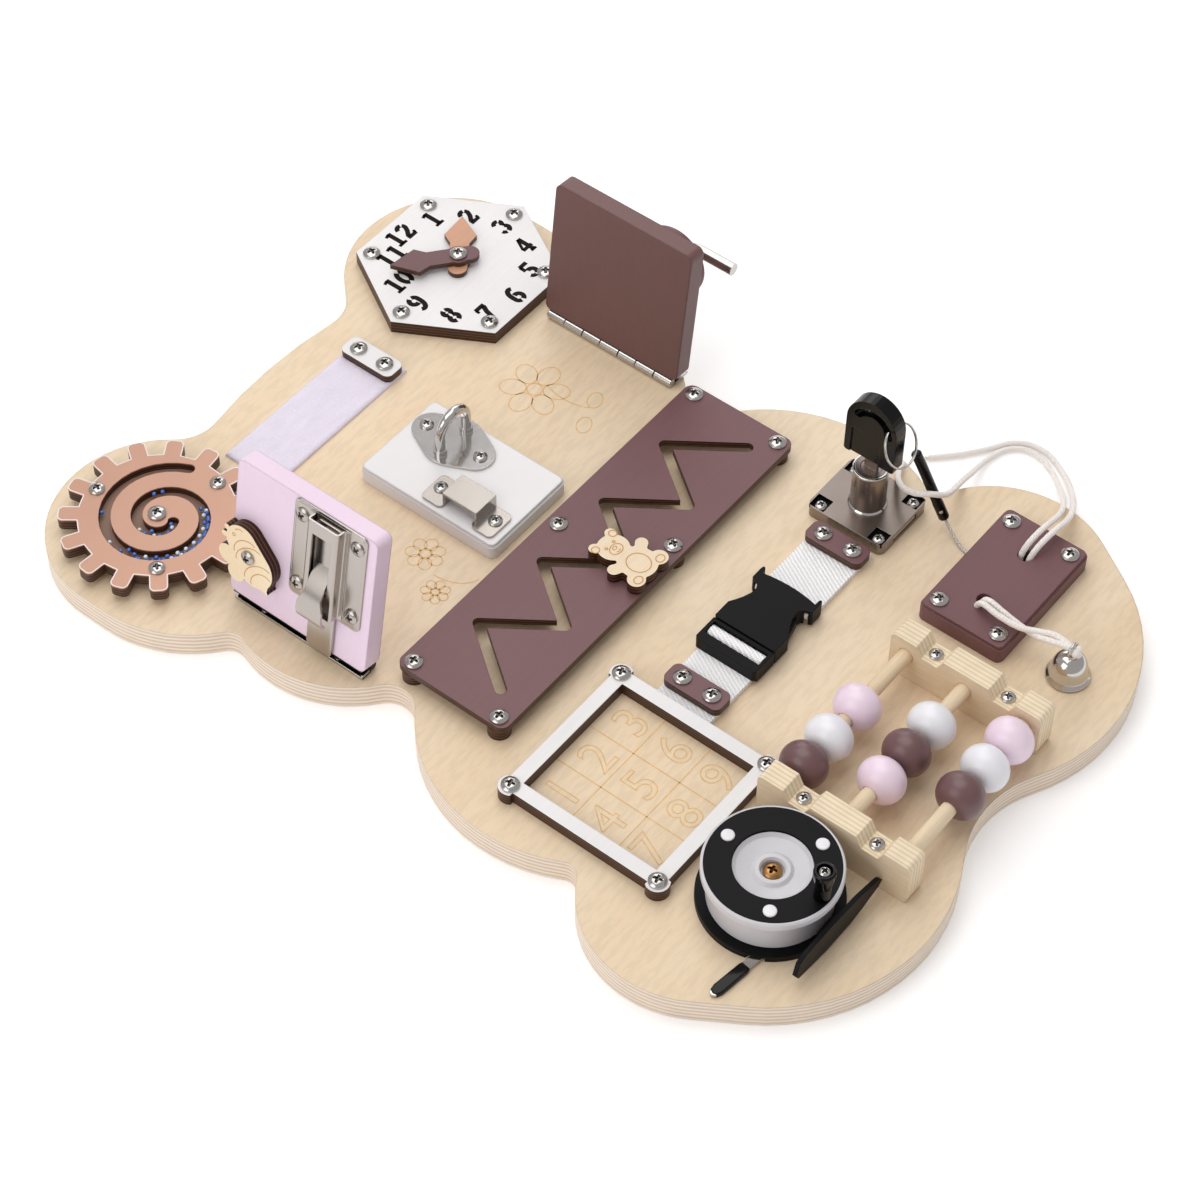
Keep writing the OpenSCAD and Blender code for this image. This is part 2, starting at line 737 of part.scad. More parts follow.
module gear_face() color([0.84, 0.66, 0.57]) translate([gear_x, gear_y, gear_z + gear_t])
  difference() {
    linear_extrude(gear_face_t) gear_outline();
    translate([0, 0, -over]) linear_extrude(gear_face_t + 2 * over) spiral();
    translate([0, 0, -over]) cylinder(d = pivot_d + 2 * pivot_gap, h = gear_face_t + 2 * over);
  }

module gear_screws() color([0.72, 0.71, 0.7]) for (a = gear_screw_angles)
  translate([gear_x + gear_screw_r * cos(a), gear_y + gear_screw_r * sin(a), gear_top])
    pan(screw_d * 0.9, screw_h * 0.9);

module clock_dial() color([0.93, 0.92, 0.93]) translate([clock_x, clock_y, top_z])
  cylinder(r = dial_side, h = dial_t, $fn = 6);

module hand(length, a, z) {
  translate([clock_x, clock_y, z]) rotate(a) difference() {
    linear_extrude(hand_t) {
      circle(hand_tail);
      translate([-hand_tail, 0]) circle(hand_w / 2);
      translate([-hand_tail, -hand_w / 2]) square([length - hand_head + hand_tail, hand_w]);
      polygon([[length - hand_head - hand_barb, -hand_w / 2 - hand_barb],
        [length, 0], [length - hand_head - hand_barb, hand_w / 2 + hand_barb]]);
      polygon([[length - hand_head - hand_barb, hand_w / 2 + hand_barb],
        [length - hand_head * 1.9, hand_w / 2],
        [length - hand_head * 1.9, -hand_w / 2],
        [length - hand_head - hand_barb, -hand_w / 2 - hand_barb]]);
    }
    translate([0, 0, -over]) cylinder(d = hand_bore, h = hand_t + 2 * over);
  }
}

module hour_hand() color([0.82, 0.58, 0.45]) hand(hour_len, hour_angle, hour_z);

module minute_hand() color([0.48, 0.36, 0.37]) hand(minute_len, minute_angle, minute_z);

module loop_tape() color([0.92, 0.9, 0.94]) translate([tape_x, tape_y - tape_w / 2, top_z])
  cube([tape_len, tape_w, tape_t]);

module clamp_plates() color([0.5, 0.38, 0.39]) {
  at(clamp_hook_x, tape_y, top_z + tape_t) slab(clamp_w, clamp_len, clamp_r, clamp_t);
  at(clamp_left_x, strap_y, top_z + 2 * web_t) slab(clamp_w, clamp_len, clamp_r, clamp_t);
  at(clamp_right_x, strap_y, top_z + 2 * web_t) slab(clamp_w, clamp_len, clamp_r, clamp_t);
}

// Hinges: local u runs up the door, local v goes from its inner to its outer face
module door_frame(x, lean, side) {
  translate([x, door_y, axis_z]) rotate([0, lean, 0])
    if (side > 0) children(); else mirror([1, 0, 0]) children();
}

module knuckle_row(odd, bore) {
  pitch = leaf_len / knuckles;
  for (k = [0:knuckles - 1]) if (k % 2 == odd)
    translate([0, -leaf_len / 2 + k * pitch + knuckle_gap / 2, 0]) rotate([-90, 0, 0])
      difference() {
        cylinder(r = knuckle_r, h = pitch - knuckle_gap);
        translate([0, 0, -over]) cylinder(d = bore, h = pitch + 2 * over);
      }
}

module hinge_base(x, side) {
  pitch = leaf_len / knuckles;
  translate([x, door_y, axis_z]) {
    knuckle_row(0, pin_d);
    for (k = [0:2:knuckles - 1])
      translate([side > 0 ? 0 : -knuckle_r - gap - leaf_t, -leaf_len / 2 + k * pitch + knuckle_gap / 2,
        -knuckle_r - gap]) cube([knuckle_r + gap + leaf_t, pitch - knuckle_gap, leaf_t]);
    translate([side > 0 ? knuckle_r + gap : -base_reach - knuckle_r, -leaf_len / 2, -knuckle_r - gap])
      cube([base_reach - gap, leaf_len, leaf_t]);
    rotate([90, 0, 0]) translate([0, 0, -leaf_len / 2]) cylinder(d = pin_d - 2 * pin_gap, h = leaf_len);
  }
}

module hinge_bases() color([0.3, 0.29, 0.29]) {
  hinge_base(left_axis_x, -1);
  hinge_base(right_axis_x, 1);
}

module moving_leaf() {
  pitch = leaf_len / knuckles;
  knuckle_row(1, pin_d + pin_gap);
  translate([knuckle_r + gap, -leaf_len / 2, door_u - leaf_t]) cube([leaf_reach, leaf_len, leaf_t]);
  for (k = [1:2:knuckles - 1]) translate([0, -leaf_len / 2 + k * pitch + knuckle_gap / 2, 0])
    difference() {
      translate([0, 0, pin_d]) cube([knuckle_r + gap + leaf_t, pitch - knuckle_gap, door_u - pin_d]);
      translate([0, -over, 0]) rotate([-90, 0, 0]) cylinder(r = knuckle_r - pin_gap, h = pitch + 2 * over);
    }
}

module door_panel() {
  difference() {
    translate([door_v, 0, door_u + door_h / 2]) rotate([90, 0, 90])
      slab(door_len, door_h, door_round, door_t);
    translate([0, -door_len / 2 - over, 0]) rotate([-90, 0, 0])
      cylinder(r = knuckle_r + gap, h = door_len + 2 * over);
  }
}

module left_door() color([0.92, 0.84, 0.91]) door_frame(left_axis_x, left_lean, -1) door_panel();

module left_leaf() color([0.3, 0.29, 0.29]) door_frame(left_axis_x, left_lean, -1) moving_leaf();

module right_door() color([0.44, 0.31, 0.3]) door_frame(right_axis_x, right_lean, 1) door_panel();

module right_leaf() color([0.72, 0.71, 0.7]) door_frame(right_axis_x, right_lean, 1) moving_leaf();

// Flat frame on a door's outer face: local x up the door, z outward
module on_face(x, lean, side) {
  door_frame(x, lean, side) translate([door_v + door_t, 0, 0])
    rotate([0, -90, 0]) mirror([0, 0, 1]) children();
}

module on_left() {
  on_face(left_axis_x, left_lean, -1) children();
}

module on_right() {
  on_face(right_axis_x, right_lean, 1) children();
}

module left_fittings() color([0.72, 0.71, 0.7]) on_left() {
  mid = channel_w / 2;
  flange = latch_w / 2 - mid;
  translate([latch_u, latch_y, 0]) {
    for (j = [-1, 1]) translate([latch_len / 2, j * (mid + flange / 2), 0])
      slab(latch_len, flange, soft_r, sheet_t);
    for (j = [-1, 1]) translate([soft_r, j * (mid - sheet_t / 2) - sheet_t / 2, 0])
      cube([channel_len, sheet_t, channel_h]);
    for (j = [-1, 1]) translate([soft_r, j * (mid + sheet_t / 2) - sheet_t, 0])
      cube([channel_len, 2 * sheet_t, sheet_t]);
    difference() {
      translate([soft_r, -mid, channel_h - sheet_t]) cube([channel_len, channel_w, sheet_t]);
      translate([slot_from - latch_u, -tab_w / 2 - tongue_gap, channel_h - sheet_t - over])
        cube([slot_len, tab_w + 2 * tongue_gap, sheet_t + 2 * over]);
    }
    for (i = [-1, 1], j = [-1, 1])
      translate([latch_len / 2 + i * latch_hole_du, j * latch_hole_dy, sheet_t])
        pan(screw_d * 0.85, screw_h * 0.8);
  }
  translate([bee_u, bee_y, 0]) cylinder(d = pivot_d, h = bee_lift + bee_t + gap);
  translate([bee_u, bee_y, bee_lift + bee_t + gap]) pan(bee_screw_d, screw_h * 0.9);
}

function tab_point(i, side) = let(n = len(tab_shares), p = [for (s = tab_shares)
  [tab_from + s[0] * tab_run, gap + s[1] * tab_rise]],
  t = unit(p[min(i + 1, n - 1)] - p[max(i - 1, 0)])) p[i] + side * tab_t / 2 * [-t.y, t.x];

module tab_profile(first) {
  n = len(tab_shares) - 1;
  polygon(concat([for (i = [first:n]) tab_point(i, 1)], [for (i = [n:-1:first]) tab_point(i, -1)]));
}

module latch_tongue() color([0.76, 0.75, 0.74]) on_left() translate([0, latch_y, 0]) {
  translate([tongue_u + tongue_len / 2, 0, gap]) slab(tongue_len, tongue_w, soft_r, tongue_t);
  translate([0, tab_w / 2, 0]) rotate([90, 0, 0]) linear_extrude(tab_w) tab_profile(0);
  translate([0, tongue_w / 2, 0]) rotate([90, 0, 0]) linear_extrude(tongue_w) tab_profile(5);
}

module bee_outline() {
  r1 = bee_w / 2;
  r2 = bee_w * 0.42;
  a = [-(bee_len / 2 - r1), 0];
  b = [bee_len / 2 - r2, 0];
  link(a, r1, b, r2);
  link(a, sting_r, [a.x - r1 - sting_r * 1.6, 0], sting_r * 0.6);
  polygon([[a.x - r1 * 0.9, sting_r * 2.6], [a.x - r1 - sting_r * 1.6, 0],
    [a.x - r1 * 0.9, -sting_r * 2.6]]);
  for (k = [-1, 1]) link([a.x * 0.4, r1 * 0.6], wing_r * 0.6,
    [k * wing_r * 0.72 - wing_r * 0.2, wing_out - wing_r * 0.1], wing_r * 0.74);
  for (k = [0, 1]) link([b.x, 0], sting_r * 0.6, [b.x + r2 * (0.98 - k * 0.3),
    r2 * (0.5 + k * 0.42)], sting_r);
}

module bee() color([0.95, 0.86, 0.72]) on_left() translate([bee_u, bee_y, bee_lift]) rotate(bee_turn)
  difference() {
    linear_extrude(bee_t) bee_outline();
    translate([0, 0, -over]) cylinder(d = pivot_d + 2 * pivot_gap, h = bee_t + 2 * over);
  }

module lever_disc() color([0.5, 0.38, 0.39]) on_right() translate([disc_u, disc_y, 0]) difference() {
  cylinder(r = disc_r, h = disc_t);
  translate([0, 0, lever_seat]) cylinder(d = lever_d + 2 * lever_gap, h = disc_t);
}

module lever() color([0.76, 0.75, 0.74]) on_right() translate([disc_u, disc_y, 0]) {
  z0 = lever_seat + gap;
  z1 = disc_t + lever_rise - lever_bend;
  translate([0, 0, z0]) cylinder(d = lever_d, h = z1 - z0);
  translate([0, -lever_bend, z1]) rotate([90, 0, 90]) rotate_extrude(angle = 90)
    translate([lever_bend, 0]) circle(d = lever_d);
  translate([0, -lever_bend, z1 + lever_bend]) rotate([90, 0, 0])
    cylinder(d = lever_d, h = lever_len - lever_bend);
}

module middle_block() color([0.94, 0.93, 0.95]) translate([block_x, block_y, top_z]) {
  slab(block_w, block_len, block_r, block_h - block_edge);
  translate([0, 0, block_h - block_edge]) slab(block_w - block_edge, block_len - block_edge,
    block_r - block_edge / 2, block_edge);
}

module pad_eye() color([0.72, 0.71, 0.7]) translate([eye_x, eye_y, block_top]) {
  end_r = eye_w * 0.31;
  rod_r = (eye_gap + eye_rod_d) / 2;
  leg = eye_h - rod_r - eye_rod_d / 2;
  linear_extrude(plate_t) for (j = [-1, 1]) link([0, 0], eye_w / 2,
    [0, j * (eye_len / 2 - end_r)], end_r);
  rotate(eye_turn) {
    for (j = [-1, 1]) {
      translate([0, j * rod_r, 0]) cylinder(d = eye_rod_d, h = leg);
      translate([0, j * rod_r, 0]) cylinder(d = eye_rod_d + collar_extra, h = collar_h + plate_t);
    }
    translate([0, 0, leg]) rotate([90, 0, 90]) rotate_extrude(angle = 180)
      translate([rod_r, 0]) circle(d = eye_rod_d);
  }
}

module latch_catch() color([0.72, 0.71, 0.7]) translate([catch_x, catch_y, block_top]) {
  foot = catch_span / 2 + catch_foot / 2 - catch_inner / 2;
  for (j = [-1, 1]) {
    translate([-catch_shift, j * (catch_inner / 2 + foot / 2), 0])
      slab(catch_w * catch_foot_share, foot, soft_r, plate_t);
    translate([catch_shift - catch_w / 2, j * (catch_inner + plate_t) / 2 - plate_t / 2, 0])
      cube([catch_w, plate_t, catch_rise]);
  }
  translate([catch_shift - catch_w / 2, -catch_inner / 2 - plate_t, catch_rise - plate_t])
    cube([catch_w, catch_inner + 2 * plate_t, plate_t]);
}

function slot_point(k) = [slot_x + k * slot_step, slot_y + (abs(k) % 2) * slot_rise];

module track_plate() color([0.5, 0.38, 0.39]) translate([0, 0, track_z]) linear_extrude(track_t)
  difference() {
    translate([track_x, track_y]) pad(track_len, track_w, track_r);
    for (k = [-slot_legs:slot_legs - 1]) link(slot_point(k), slot_w / 2, slot_point(k + 1), slot_w / 2);
  }

module track_pin() color([0.72, 0.71, 0.7]) translate([slot_x, slot_y, 0]) {
  translate([0, 0, track_z - gap - pin_flange_t]) cylinder(d = pin_flange_d, h = pin_flange_t);
  translate([0, 0, track_z - gap]) cylinder(d = slot_w - 2 * gap, h = track_t + 2 * gap);
  translate([0, 0, track_top + gap]) cylinder(d = slider_bore - 2 * pivot_gap, h = slider_t * 0.6);
}

module slider_bear() color([0.95, 0.86, 0.72]) translate([slot_x, slot_y, track_top + gap + pin_gap])
  difference() {
    linear_extrude(slider_t) offset(r = -slider_soft, $fn = 24) offset(r = slider_soft, $fn = 24) {
      for (s = slider_shares) translate([s[0], s[1]] * slider_h) circle(s[2] * slider_h, $fn = 40);
      for (k = [2:7]) link([slider_shares[k][0], slider_shares[k][1]] * slider_h,
        slider_shares[k][2] * slider_h, [0, k < 4 ? slider_shares[0][1] * slider_h
        : slider_shares[1][1] * slider_h], slider_h * 0.06);
      square([slider_h * 0.24, slider_h * 0.3], center = true);
    }
    translate([0, 0, -over]) cylinder(d = slider_bore, h = slider_t * 0.7 + over);
  }

module number_frame() color([0.93, 0.92, 0.93])
  translate([frame_x, frame_y, top_z]) linear_extrude(frame_t) {
  difference() {
    pad(frame_w, frame_h, soft_r);
    square([frame_w - 2 * frame_bar, frame_h - 2 * frame_bar], center = true);
  }
  for (i = [-1, 1], j = [-1, 1]) translate([i * lug_dx, j * lug_dy]) intersection() {
    circle(lug_r);
    translate([i * lug_r * 0.5, j * lug_r * 0.5]) square(lug_r * 2.2, center = true);
  }
}

// Two layers of webbing that lie flat, then pass round a buckle's bar
module web_loop(flat, bar) {
  r = bar_d / 2 + pin_gap;
  s = flat < bar ? 1 : -1;
  low = top_z;
  difference() {
    polygon(concat([[flat, low], [flat, low + 2 * web_t], [bar - s * (r + 1.8 * web_t), low + 2 * web_t]],
      [for (a = [195:-15:-90]) [bar + s * (r + web_t) * cos(a), bar_z + (r + web_t) * sin(a)]],
      [[bar - s * r, low]]));
    translate([bar, bar_z]) circle(r, $fn = 24);
  }
}

module strap_webbing() color([0.93, 0.92, 0.94]) translate([0, strap_y + web_w / 2, 0]) rotate([90, 0, 0])
  linear_extrude(web_w) {
    translate([web_x0, top_z]) square([clamp_left_x + clamp_w / 2 + over - web_x0, 2 * web_t]);
    web_loop(clamp_left_x + clamp_w / 2, plug_bar_x);
    translate([clamp_right_x - clamp_w / 2, top_z]) square([clamp_w + web_t, 2 * web_t]);
  }

module free_webbing() color([0.93, 0.92, 0.94]) translate([0, strap_y + web_w / 2, 0]) rotate([90, 0, 0])
  linear_extrude(web_w) web_loop(clamp_right_x - clamp_w / 2, socket_bar_x);

// A round bar from side to side of the buckle
module buckle_bar(x) {
  translate([x, buckle_y - buckle_w / 2 + buckle_wall / 2, bar_z]) rotate([-90, 0, 0])
    cylinder(d = bar_d, h = buckle_w - buckle_wall);
}

module buckle_plug() color([0.13, 0.13, 0.13]) {
  for (j = [-1, 1]) translate([plug_x0 + buckle_wall, buckle_y + j * (buckle_w - buckle_wall) / 2, buckle_z])
    translate([0, -buckle_wall / 2, 0]) cube([plug_len - buckle_wall, buckle_wall, frame_top - buckle_z]);
  translate([plug_x0 + end_bar_w / 2, buckle_y, end_bar_z])
    slab(end_bar_w, buckle_w, buckle_wall, frame_top - end_bar_z);
  buckle_bar(plug_bar_x);
  translate([plug_x1 - buckle_wall, buckle_y - buckle_w / 2, buckle_z])
    cube([buckle_wall, buckle_w, frame_top - buckle_z]);
  translate([plug_x1 - over, buckle_y - guide_w / 2, buckle_mid - prong_t / 2])
    cube([prong_len + over, guide_w, prong_t]);
  translate([0, 0, buckle_mid - prong_t / 2]) linear_extrude(prong_t) for (j = [-1, 1]) {
    link([plug_x1, buckle_y + j * prong_y], prong_w / 2, [plug_x1 + prong_len * 0.55,
      buckle_y + j * prong_y], prong_w / 2);
    link([plug_x1 + prong_len * 0.6, buckle_y + j * (prong_y + prong_w * 0.26)], prong_w * 0.54,
      [plug_x1 + prong_len - prong_w * 0.6, buckle_y + j * (prong_y - prong_w * 0.1)], prong_w * 0.54);
  }
}

// The socket's outline seen from above
module socket_outline() {
  half = [for (p = socket_half_shares) [p[0] * socket_len, p[1] * buckle_w / 2]];
  n = len(half);
  translate([socket_x0, buckle_y]) polygon(concat(half, [for (i = [n - 1:-1:0]) [half[i].x, -half[i].y]]));
}

module buckle_socket() color([0.13, 0.13, 0.13]) {
  back_x = socket_x0 + prong_len + pin_gap;
  skin = (buckle_t - slot_gap) / 2;
  solid = block_share * socket_len;
  translate([0, 0, buckle_z + buckle_t - skin]) linear_extrude(skin) socket_outline();
  translate([0, 0, buckle_z]) linear_extrude(skin) intersection() {
    socket_outline();
    translate([socket_x0, buckle_y - buckle_w]) square([solid, 2 * buckle_w]);
  }
  translate([0, 0, buckle_z]) linear_extrude(buckle_t) {
    intersection() {
      socket_outline();
      translate([back_x, buckle_y - buckle_w]) square([socket_x0 + solid - back_x, 2 * buckle_w]);
    }
    difference() {
      socket_outline();
      translate([socket_x0 - over, buckle_y - buckle_w / 2 + side_wall])
        square([socket_len + 2 * over, buckle_w - 2 * side_wall]);
    }
  }
  buckle_bar(socket_bar_x);
}

module lock_case() color([0.74, 0.73, 0.72]) translate([case_x, case_y, 0]) difference() {
  union() {
    translate([0, 0, top_z]) slab(case_w, case_len, case_r, case_h);
    translate([0, 0, case_top]) cylinder(d = barrel_d, h = barrel_h);
  }
  for (i = [-1, 1], j = [-1, 1]) translate([i * pocket_dx, j * pocket_dy, case_top - pocket_depth])
    translate([-pocket_w / 2, -pocket_w / 2, 0]) cube([pocket_w, pocket_w, pocket_depth + over]);
  translate([-bolt_w / 2 - bolt_gap, -case_len / 2 - over, top_z + bolt_z - bolt_gap])
    cube([bolt_w + 2 * bolt_gap, bolt_len + bolt_gap * 2 + over, bolt_t + 2 * bolt_gap]);
  translate([0, 0, case_top + wall]) cylinder(d = bore_d, h = barrel_h);
}

module lock_bolt() color([0.74, 0.73, 0.72])
  translate([case_x - bolt_w / 2, case_y - case_len / 2 + bolt_gap, top_z + bolt_z])
    cube([bolt_w, bolt_len, bolt_t]);

module key() color([0.74, 0.73, 0.72]) translate([case_x, case_y, case_top]) {
  translate([0, 0, wall + plug_gap])
    cylinder(d = bore_d - 2 * plug_gap, h = barrel_h - wall - 2 * plug_gap);
  translate([-blade_t / 2, -blade_w / 2, barrel_h - plug_gap]) cube([blade_t, blade_w, blade_h + plug_gap]);
}

module key_grip() color([0.14, 0.13, 0.13])
  translate([case_x - grip_t / 2, case_y, grip_z]) rotate([90, 0, 90]) difference() {
    linear_extrude(grip_t) difference() {
      polygon([for (p = grip_arch) [p[0] * grip_w, p[1] * grip_h]]);
      translate([0, slot_mid * grip_h]) polygon(concat(arc([0, 0], slot_r + slot_half, 38, 175),
        arc(slot_r * [cos(178), sin(178)], slot_half, 178, 358),
        [for (a = [175:-arc_step:38]) (slot_r - slot_half) * [cos(a), sin(a)]],
        arc(slot_r * [cos(34), sin(34)], slot_half, 214, 394)));
    }
    for (z = [-over, grip_t - panel_d]) translate([-grip_w * 0.2, -over, z])
      cube([grip_w * 0.58, grip_h * 0.44 + over, panel_d + over]);
  }

module key_ring() color([0.76, 0.75, 0.74])
  translate([case_x, case_y + ring_at.x * grip_w, grip_z + ring_at.y * grip_h]) rotate([ring_lean, 0, 0])
    translate([0, 0, -ring_r]) rotate([90, 0, 0])
      rotate_extrude() translate([ring_r, 0]) circle(d = ring_wire);

module key_sleeve() color([0.13, 0.13, 0.13]) tube(fine(route_sleeve, 1), sleeve_d, 8);

module key_wire() color([0.7, 0.7, 0.7]) tube(fine(route_wire, 1), wire_d, 8);

module lacing_block() color([0.5, 0.38, 0.39]) translate([lace_x, lace_y, top_z]) difference() {
  union() {
    slab(lace_w, lace_len, lace_r, lace_h - block_edge);
    translate([0, 0, lace_h - block_edge]) slab(lace_w - block_edge, lace_len - block_edge,
      lace_r - block_edge / 2, block_edge);
  }
  for (i = [-1, 1])
    translate([i * lace_hole_dx, 0, lace_chan_h - over]) cylinder(d = lace_hole_d, h = lace_h);
  translate([-lace_hole_dx - lace_hole_d / 2, -lace_hole_d / 2, -over])
    cube([2 * lace_hole_dx + lace_hole_d, lace_hole_d, lace_chan_h + over]);
}

module lace_a() color([0.93, 0.89, 0.87]) tube(fine(route_a, 2), cord_d, 8);

module lace_b() color([0.93, 0.89, 0.87]) tube(fine(route_b, 1), cord_d, 8);

module bell_lace() color([0.93, 0.89, 0.87]) tube(fine(route_bell, 2), cord_d, 8);

module bell() color([0.78, 0.78, 0.79]) translate([bell_x, bell_y, top_z + bell_r + gap]) {
  difference() {
    sphere(r = bell_r);
    for (a = [0, 90]) rotate(a) translate([-bell_r, -bell_wall / 2, -bell_r - over])
      cube([2 * bell_r, bell_wall, bell_r]);
  }
  cylinder(r = bell_r + bell_wall, h = bell_wall);
  translate([0, 0, bell_r + bell_wall]) rotate([90, 0, 90]) rotate_extrude()
    translate([bell_wall * 2.6, 0]) circle(bell_wall);
}

module bracket_profile() {
  difference() {
    translate([0, bracket_h / 2]) pad(bracket_len, bracket_h, soft_r);
    for (j = [-1, 1]) translate([j * dip_dy, bracket_h - dip_depth]) {
      translate([-screw_d / 2, 0]) square([screw_d, dip_depth + over]);
      polygon([[-screw_d / 2, 0], [screw_d / 2, 0], [screw_d / 2 + dip_r * 0.5, dip_depth + over],
        [-screw_d / 2 - dip_r * 0.5, dip_depth + over]]);
    }
  }
}

module counter_brackets() color([0.95, 0.89, 0.8]) for (i = [-1, 1])
  translate([counter_x + i * (counter_gap + bracket_w) / 2, counter_y, top_z]) difference() {
    translate([-bracket_w / 2, 0, 0]) rotate([90, 0, 90]) linear_extrude(bracket_w) bracket_profile();
    for (j = [-1:1]) translate([-i * bracket_w / 2, j * row_step, dowel_z]) rotate([0, 90, 0])
      cylinder(d = dowel_d + 2 * dowel_gap, h = 2 * dowel_in, center = true);
  }

module dowels() color([0.95, 0.88, 0.77]) for (j = [-1:1])
  translate([counter_x, counter_y + j * row_step, dowel_mid]) rotate([0, 90, 0])
    cylinder(d = dowel_d, h = counter_gap + 2 * (dowel_in - dowel_gap), center = true);

module bead(x, row) {
  translate([x, counter_y + row * row_step, dowel_mid]) rotate([0, 90, 0]) rotate_extrude() difference() {
    intersection() {
      translate([(bead_d - bead_len) / 2, 0]) circle(d = bead_len);
      translate([0, -bead_len]) square([bead_d, 2 * bead_len]);
    }
    translate([0, -bead_len]) square([bead_bore / 2, 2 * bead_len]);
  }
}

module bead_1_brown() color([0.42, 0.31, 0.31]) bead(row_1[0], 1);
module bead_1_white() color([0.95, 0.94, 0.95]) bead(row_1[1], 1);
module bead_1_pink() color([0.94, 0.85, 0.91]) bead(row_1[2], 1);
module bead_2_pink() color([0.94, 0.85, 0.91]) bead(row_2[0], 0);
module bead_2_brown() color([0.42, 0.31, 0.31]) bead(row_2[1], 0);
module bead_2_white() color([0.95, 0.94, 0.95]) bead(row_2[2], 0);
module bead_3_brown() color([0.42, 0.31, 0.31]) bead(row_3[0], -1);
module bead_3_white() color([0.95, 0.94, 0.95]) bead(row_3[1], -1);
module bead_3_pink() color([0.94, 0.85, 0.91]) bead(row_3[2], -1);

module check_shape(extra) {
  link([0, 0], check_w / 2 + extra, [check_len, 0], check_w * 0.4 + extra);
}

module reel_base() color([0.14, 0.14, 0.14]) translate([reel_x, reel_y, top_z]) {
  difference() {
    cylinder(r = base_r, h = base_h);
    translate([check_x, check_y, -over]) linear_extrude(check_t + 2 * gap + over)
      for (a = [-check_swing, 0, check_swing]) rotate(check_turn + a) check_shape(2 * gap);
  }
  cylinder(d = spindle_d, h = reel_h - cup_drop + gap);
  translate([-stem_w / 2, foot_y + foot_t / 2, 0]) cube([stem_w, -foot_y - base_r + foot_t, base_h]);
  translate([-stem_w / 2, foot_y + foot_t / 2, 0]) cube([stem_w, foot_t * 1.2, base_h + stem_h]);
  translate([foot_x, foot_y + foot_t / 2, foot_z + foot_h / 2]) rotate([90, 0, 0]) linear_extrude(foot_t)
    polygon([for (s = foot_shares) [s[0] * foot_len, s[1] * foot_h]]);
}

module reel_drum() color([0.85, 0.83, 0.84]) translate([reel_x, reel_y, top_z]) rotate_extrude()
  polygon([[spindle_d / 2 + pivot_gap, base_h + gap], [drum_r, base_h + gap],
    [drum_r - face_t, reel_h - rim_h - face_t], [reel_r, reel_h - rim_h],
    [reel_r, reel_h - face_in * 0.6], [reel_r - face_in * 0.5, reel_h],
    [reel_r - face_in, reel_h], [reel_r - face_in, reel_h - face_t], [dish_r + gap, reel_h - face_t],
    [dish_r, reel_h - face_t * 0.6], [dish_r - face_t, reel_h - dish_drop * 0.6],
    [hub_r + face_t, reel_h - dish_drop], [hub_r, reel_h - dish_drop * 0.7],
    [cup_r + face_t * 0.5, reel_h - dish_drop * 0.7], [cup_r, reel_h - dish_drop],
    [cup_r, reel_h - cup_drop], [spindle_d / 2 + pivot_gap, reel_h - cup_drop]]);

module reel_face() color([0.14, 0.14, 0.14]) translate([reel_x, reel_y, reel_top]) {
  translate([0, 0, -face_t]) difference() {
    cylinder(r = reel_r - face_in, h = face_t);
    translate([0, 0, -over]) cylinder(r = dish_r + gap, h = face_t + 2 * over);
  }
  for (a = rivet_angles) translate([rivet_ring * cos(a), rivet_ring * sin(a), 0])
    cylinder(d = rivet_d, h = rivet_h);
  translate([0, -knob_ring, 0]) cylinder(d = knob_pin, h = knob_h - knob_cup);
  translate([0, -knob_ring, knob_h - knob_cup + gap]) pan(knob_r * 1.3, knob_cup);
  translate([0, -knob_ring, knob_h - knob_cup]) cylinder(d = knob_pin, h = gap);
}

module reel_knob() color([0.12, 0.12, 0.12]) translate([reel_x, reel_y - knob_ring, reel_top + gap])
  rotate_extrude() polygon([[knob_pin / 2 + pivot_gap, 0], [knob_neck, 0],
    [knob_neck * 0.94, knob_h * 0.4], [knob_r, knob_h * 0.86], [knob_r, knob_h * 0.96],
    [knob_r - face_t * 0.5, knob_h], [knob_r - face_t, knob_h], [knob_r - face_t, knob_h - knob_cup - gap],
    [knob_pin / 2 + pivot_gap, knob_h - knob_cup - gap]]);

module reel_lever() color([0.55, 0.54, 0.53]) translate([reel_x + check_x, reel_y + check_y, top_z + gap])
  rotate(check_turn) linear_extrude(check_t) check_shape(0);

board();
screws();
spacers();
gear();
gear_face();
gear_screws();
clock_dial();
hour_hand();
minute_hand();
loop_tape();
clamp_plates();
hinge_bases();
left_door();
left_leaf();
left_fittings();
latch_tongue();
bee();
right_door();
right_leaf();
lever_disc();
lever();
middle_block();
pad_eye();
latch_catch();
track_plate();
track_pin();
slider_bear();
number_frame();
strap_webbing();
free_webbing();
buckle_plug();
buckle_socket();
lock_case();
lock_bolt();
key();
key_grip();
key_ring();
key_sleeve();
key_wire();
lacing_block();
lace_a();
lace_b();
bell_lace();
bell();
counter_brackets();
dowels();
bead_1_pink();
bead_1_white();
bead_1_brown();
bead_2_pink();
bead_2_white();
bead_2_brown();
bead_3_pink();
bead_3_white();
bead_3_brown();
reel_base();
reel_drum();
reel_face();
reel_knob();
reel_lever();
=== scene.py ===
"""Wooden busy board: materials, detailed pieces, studio and camera."""
import random
from math import acos, cos, pi, radians, sin, sqrt, tan

import bmesh
import bpy
from mathutils import Matrix, Vector


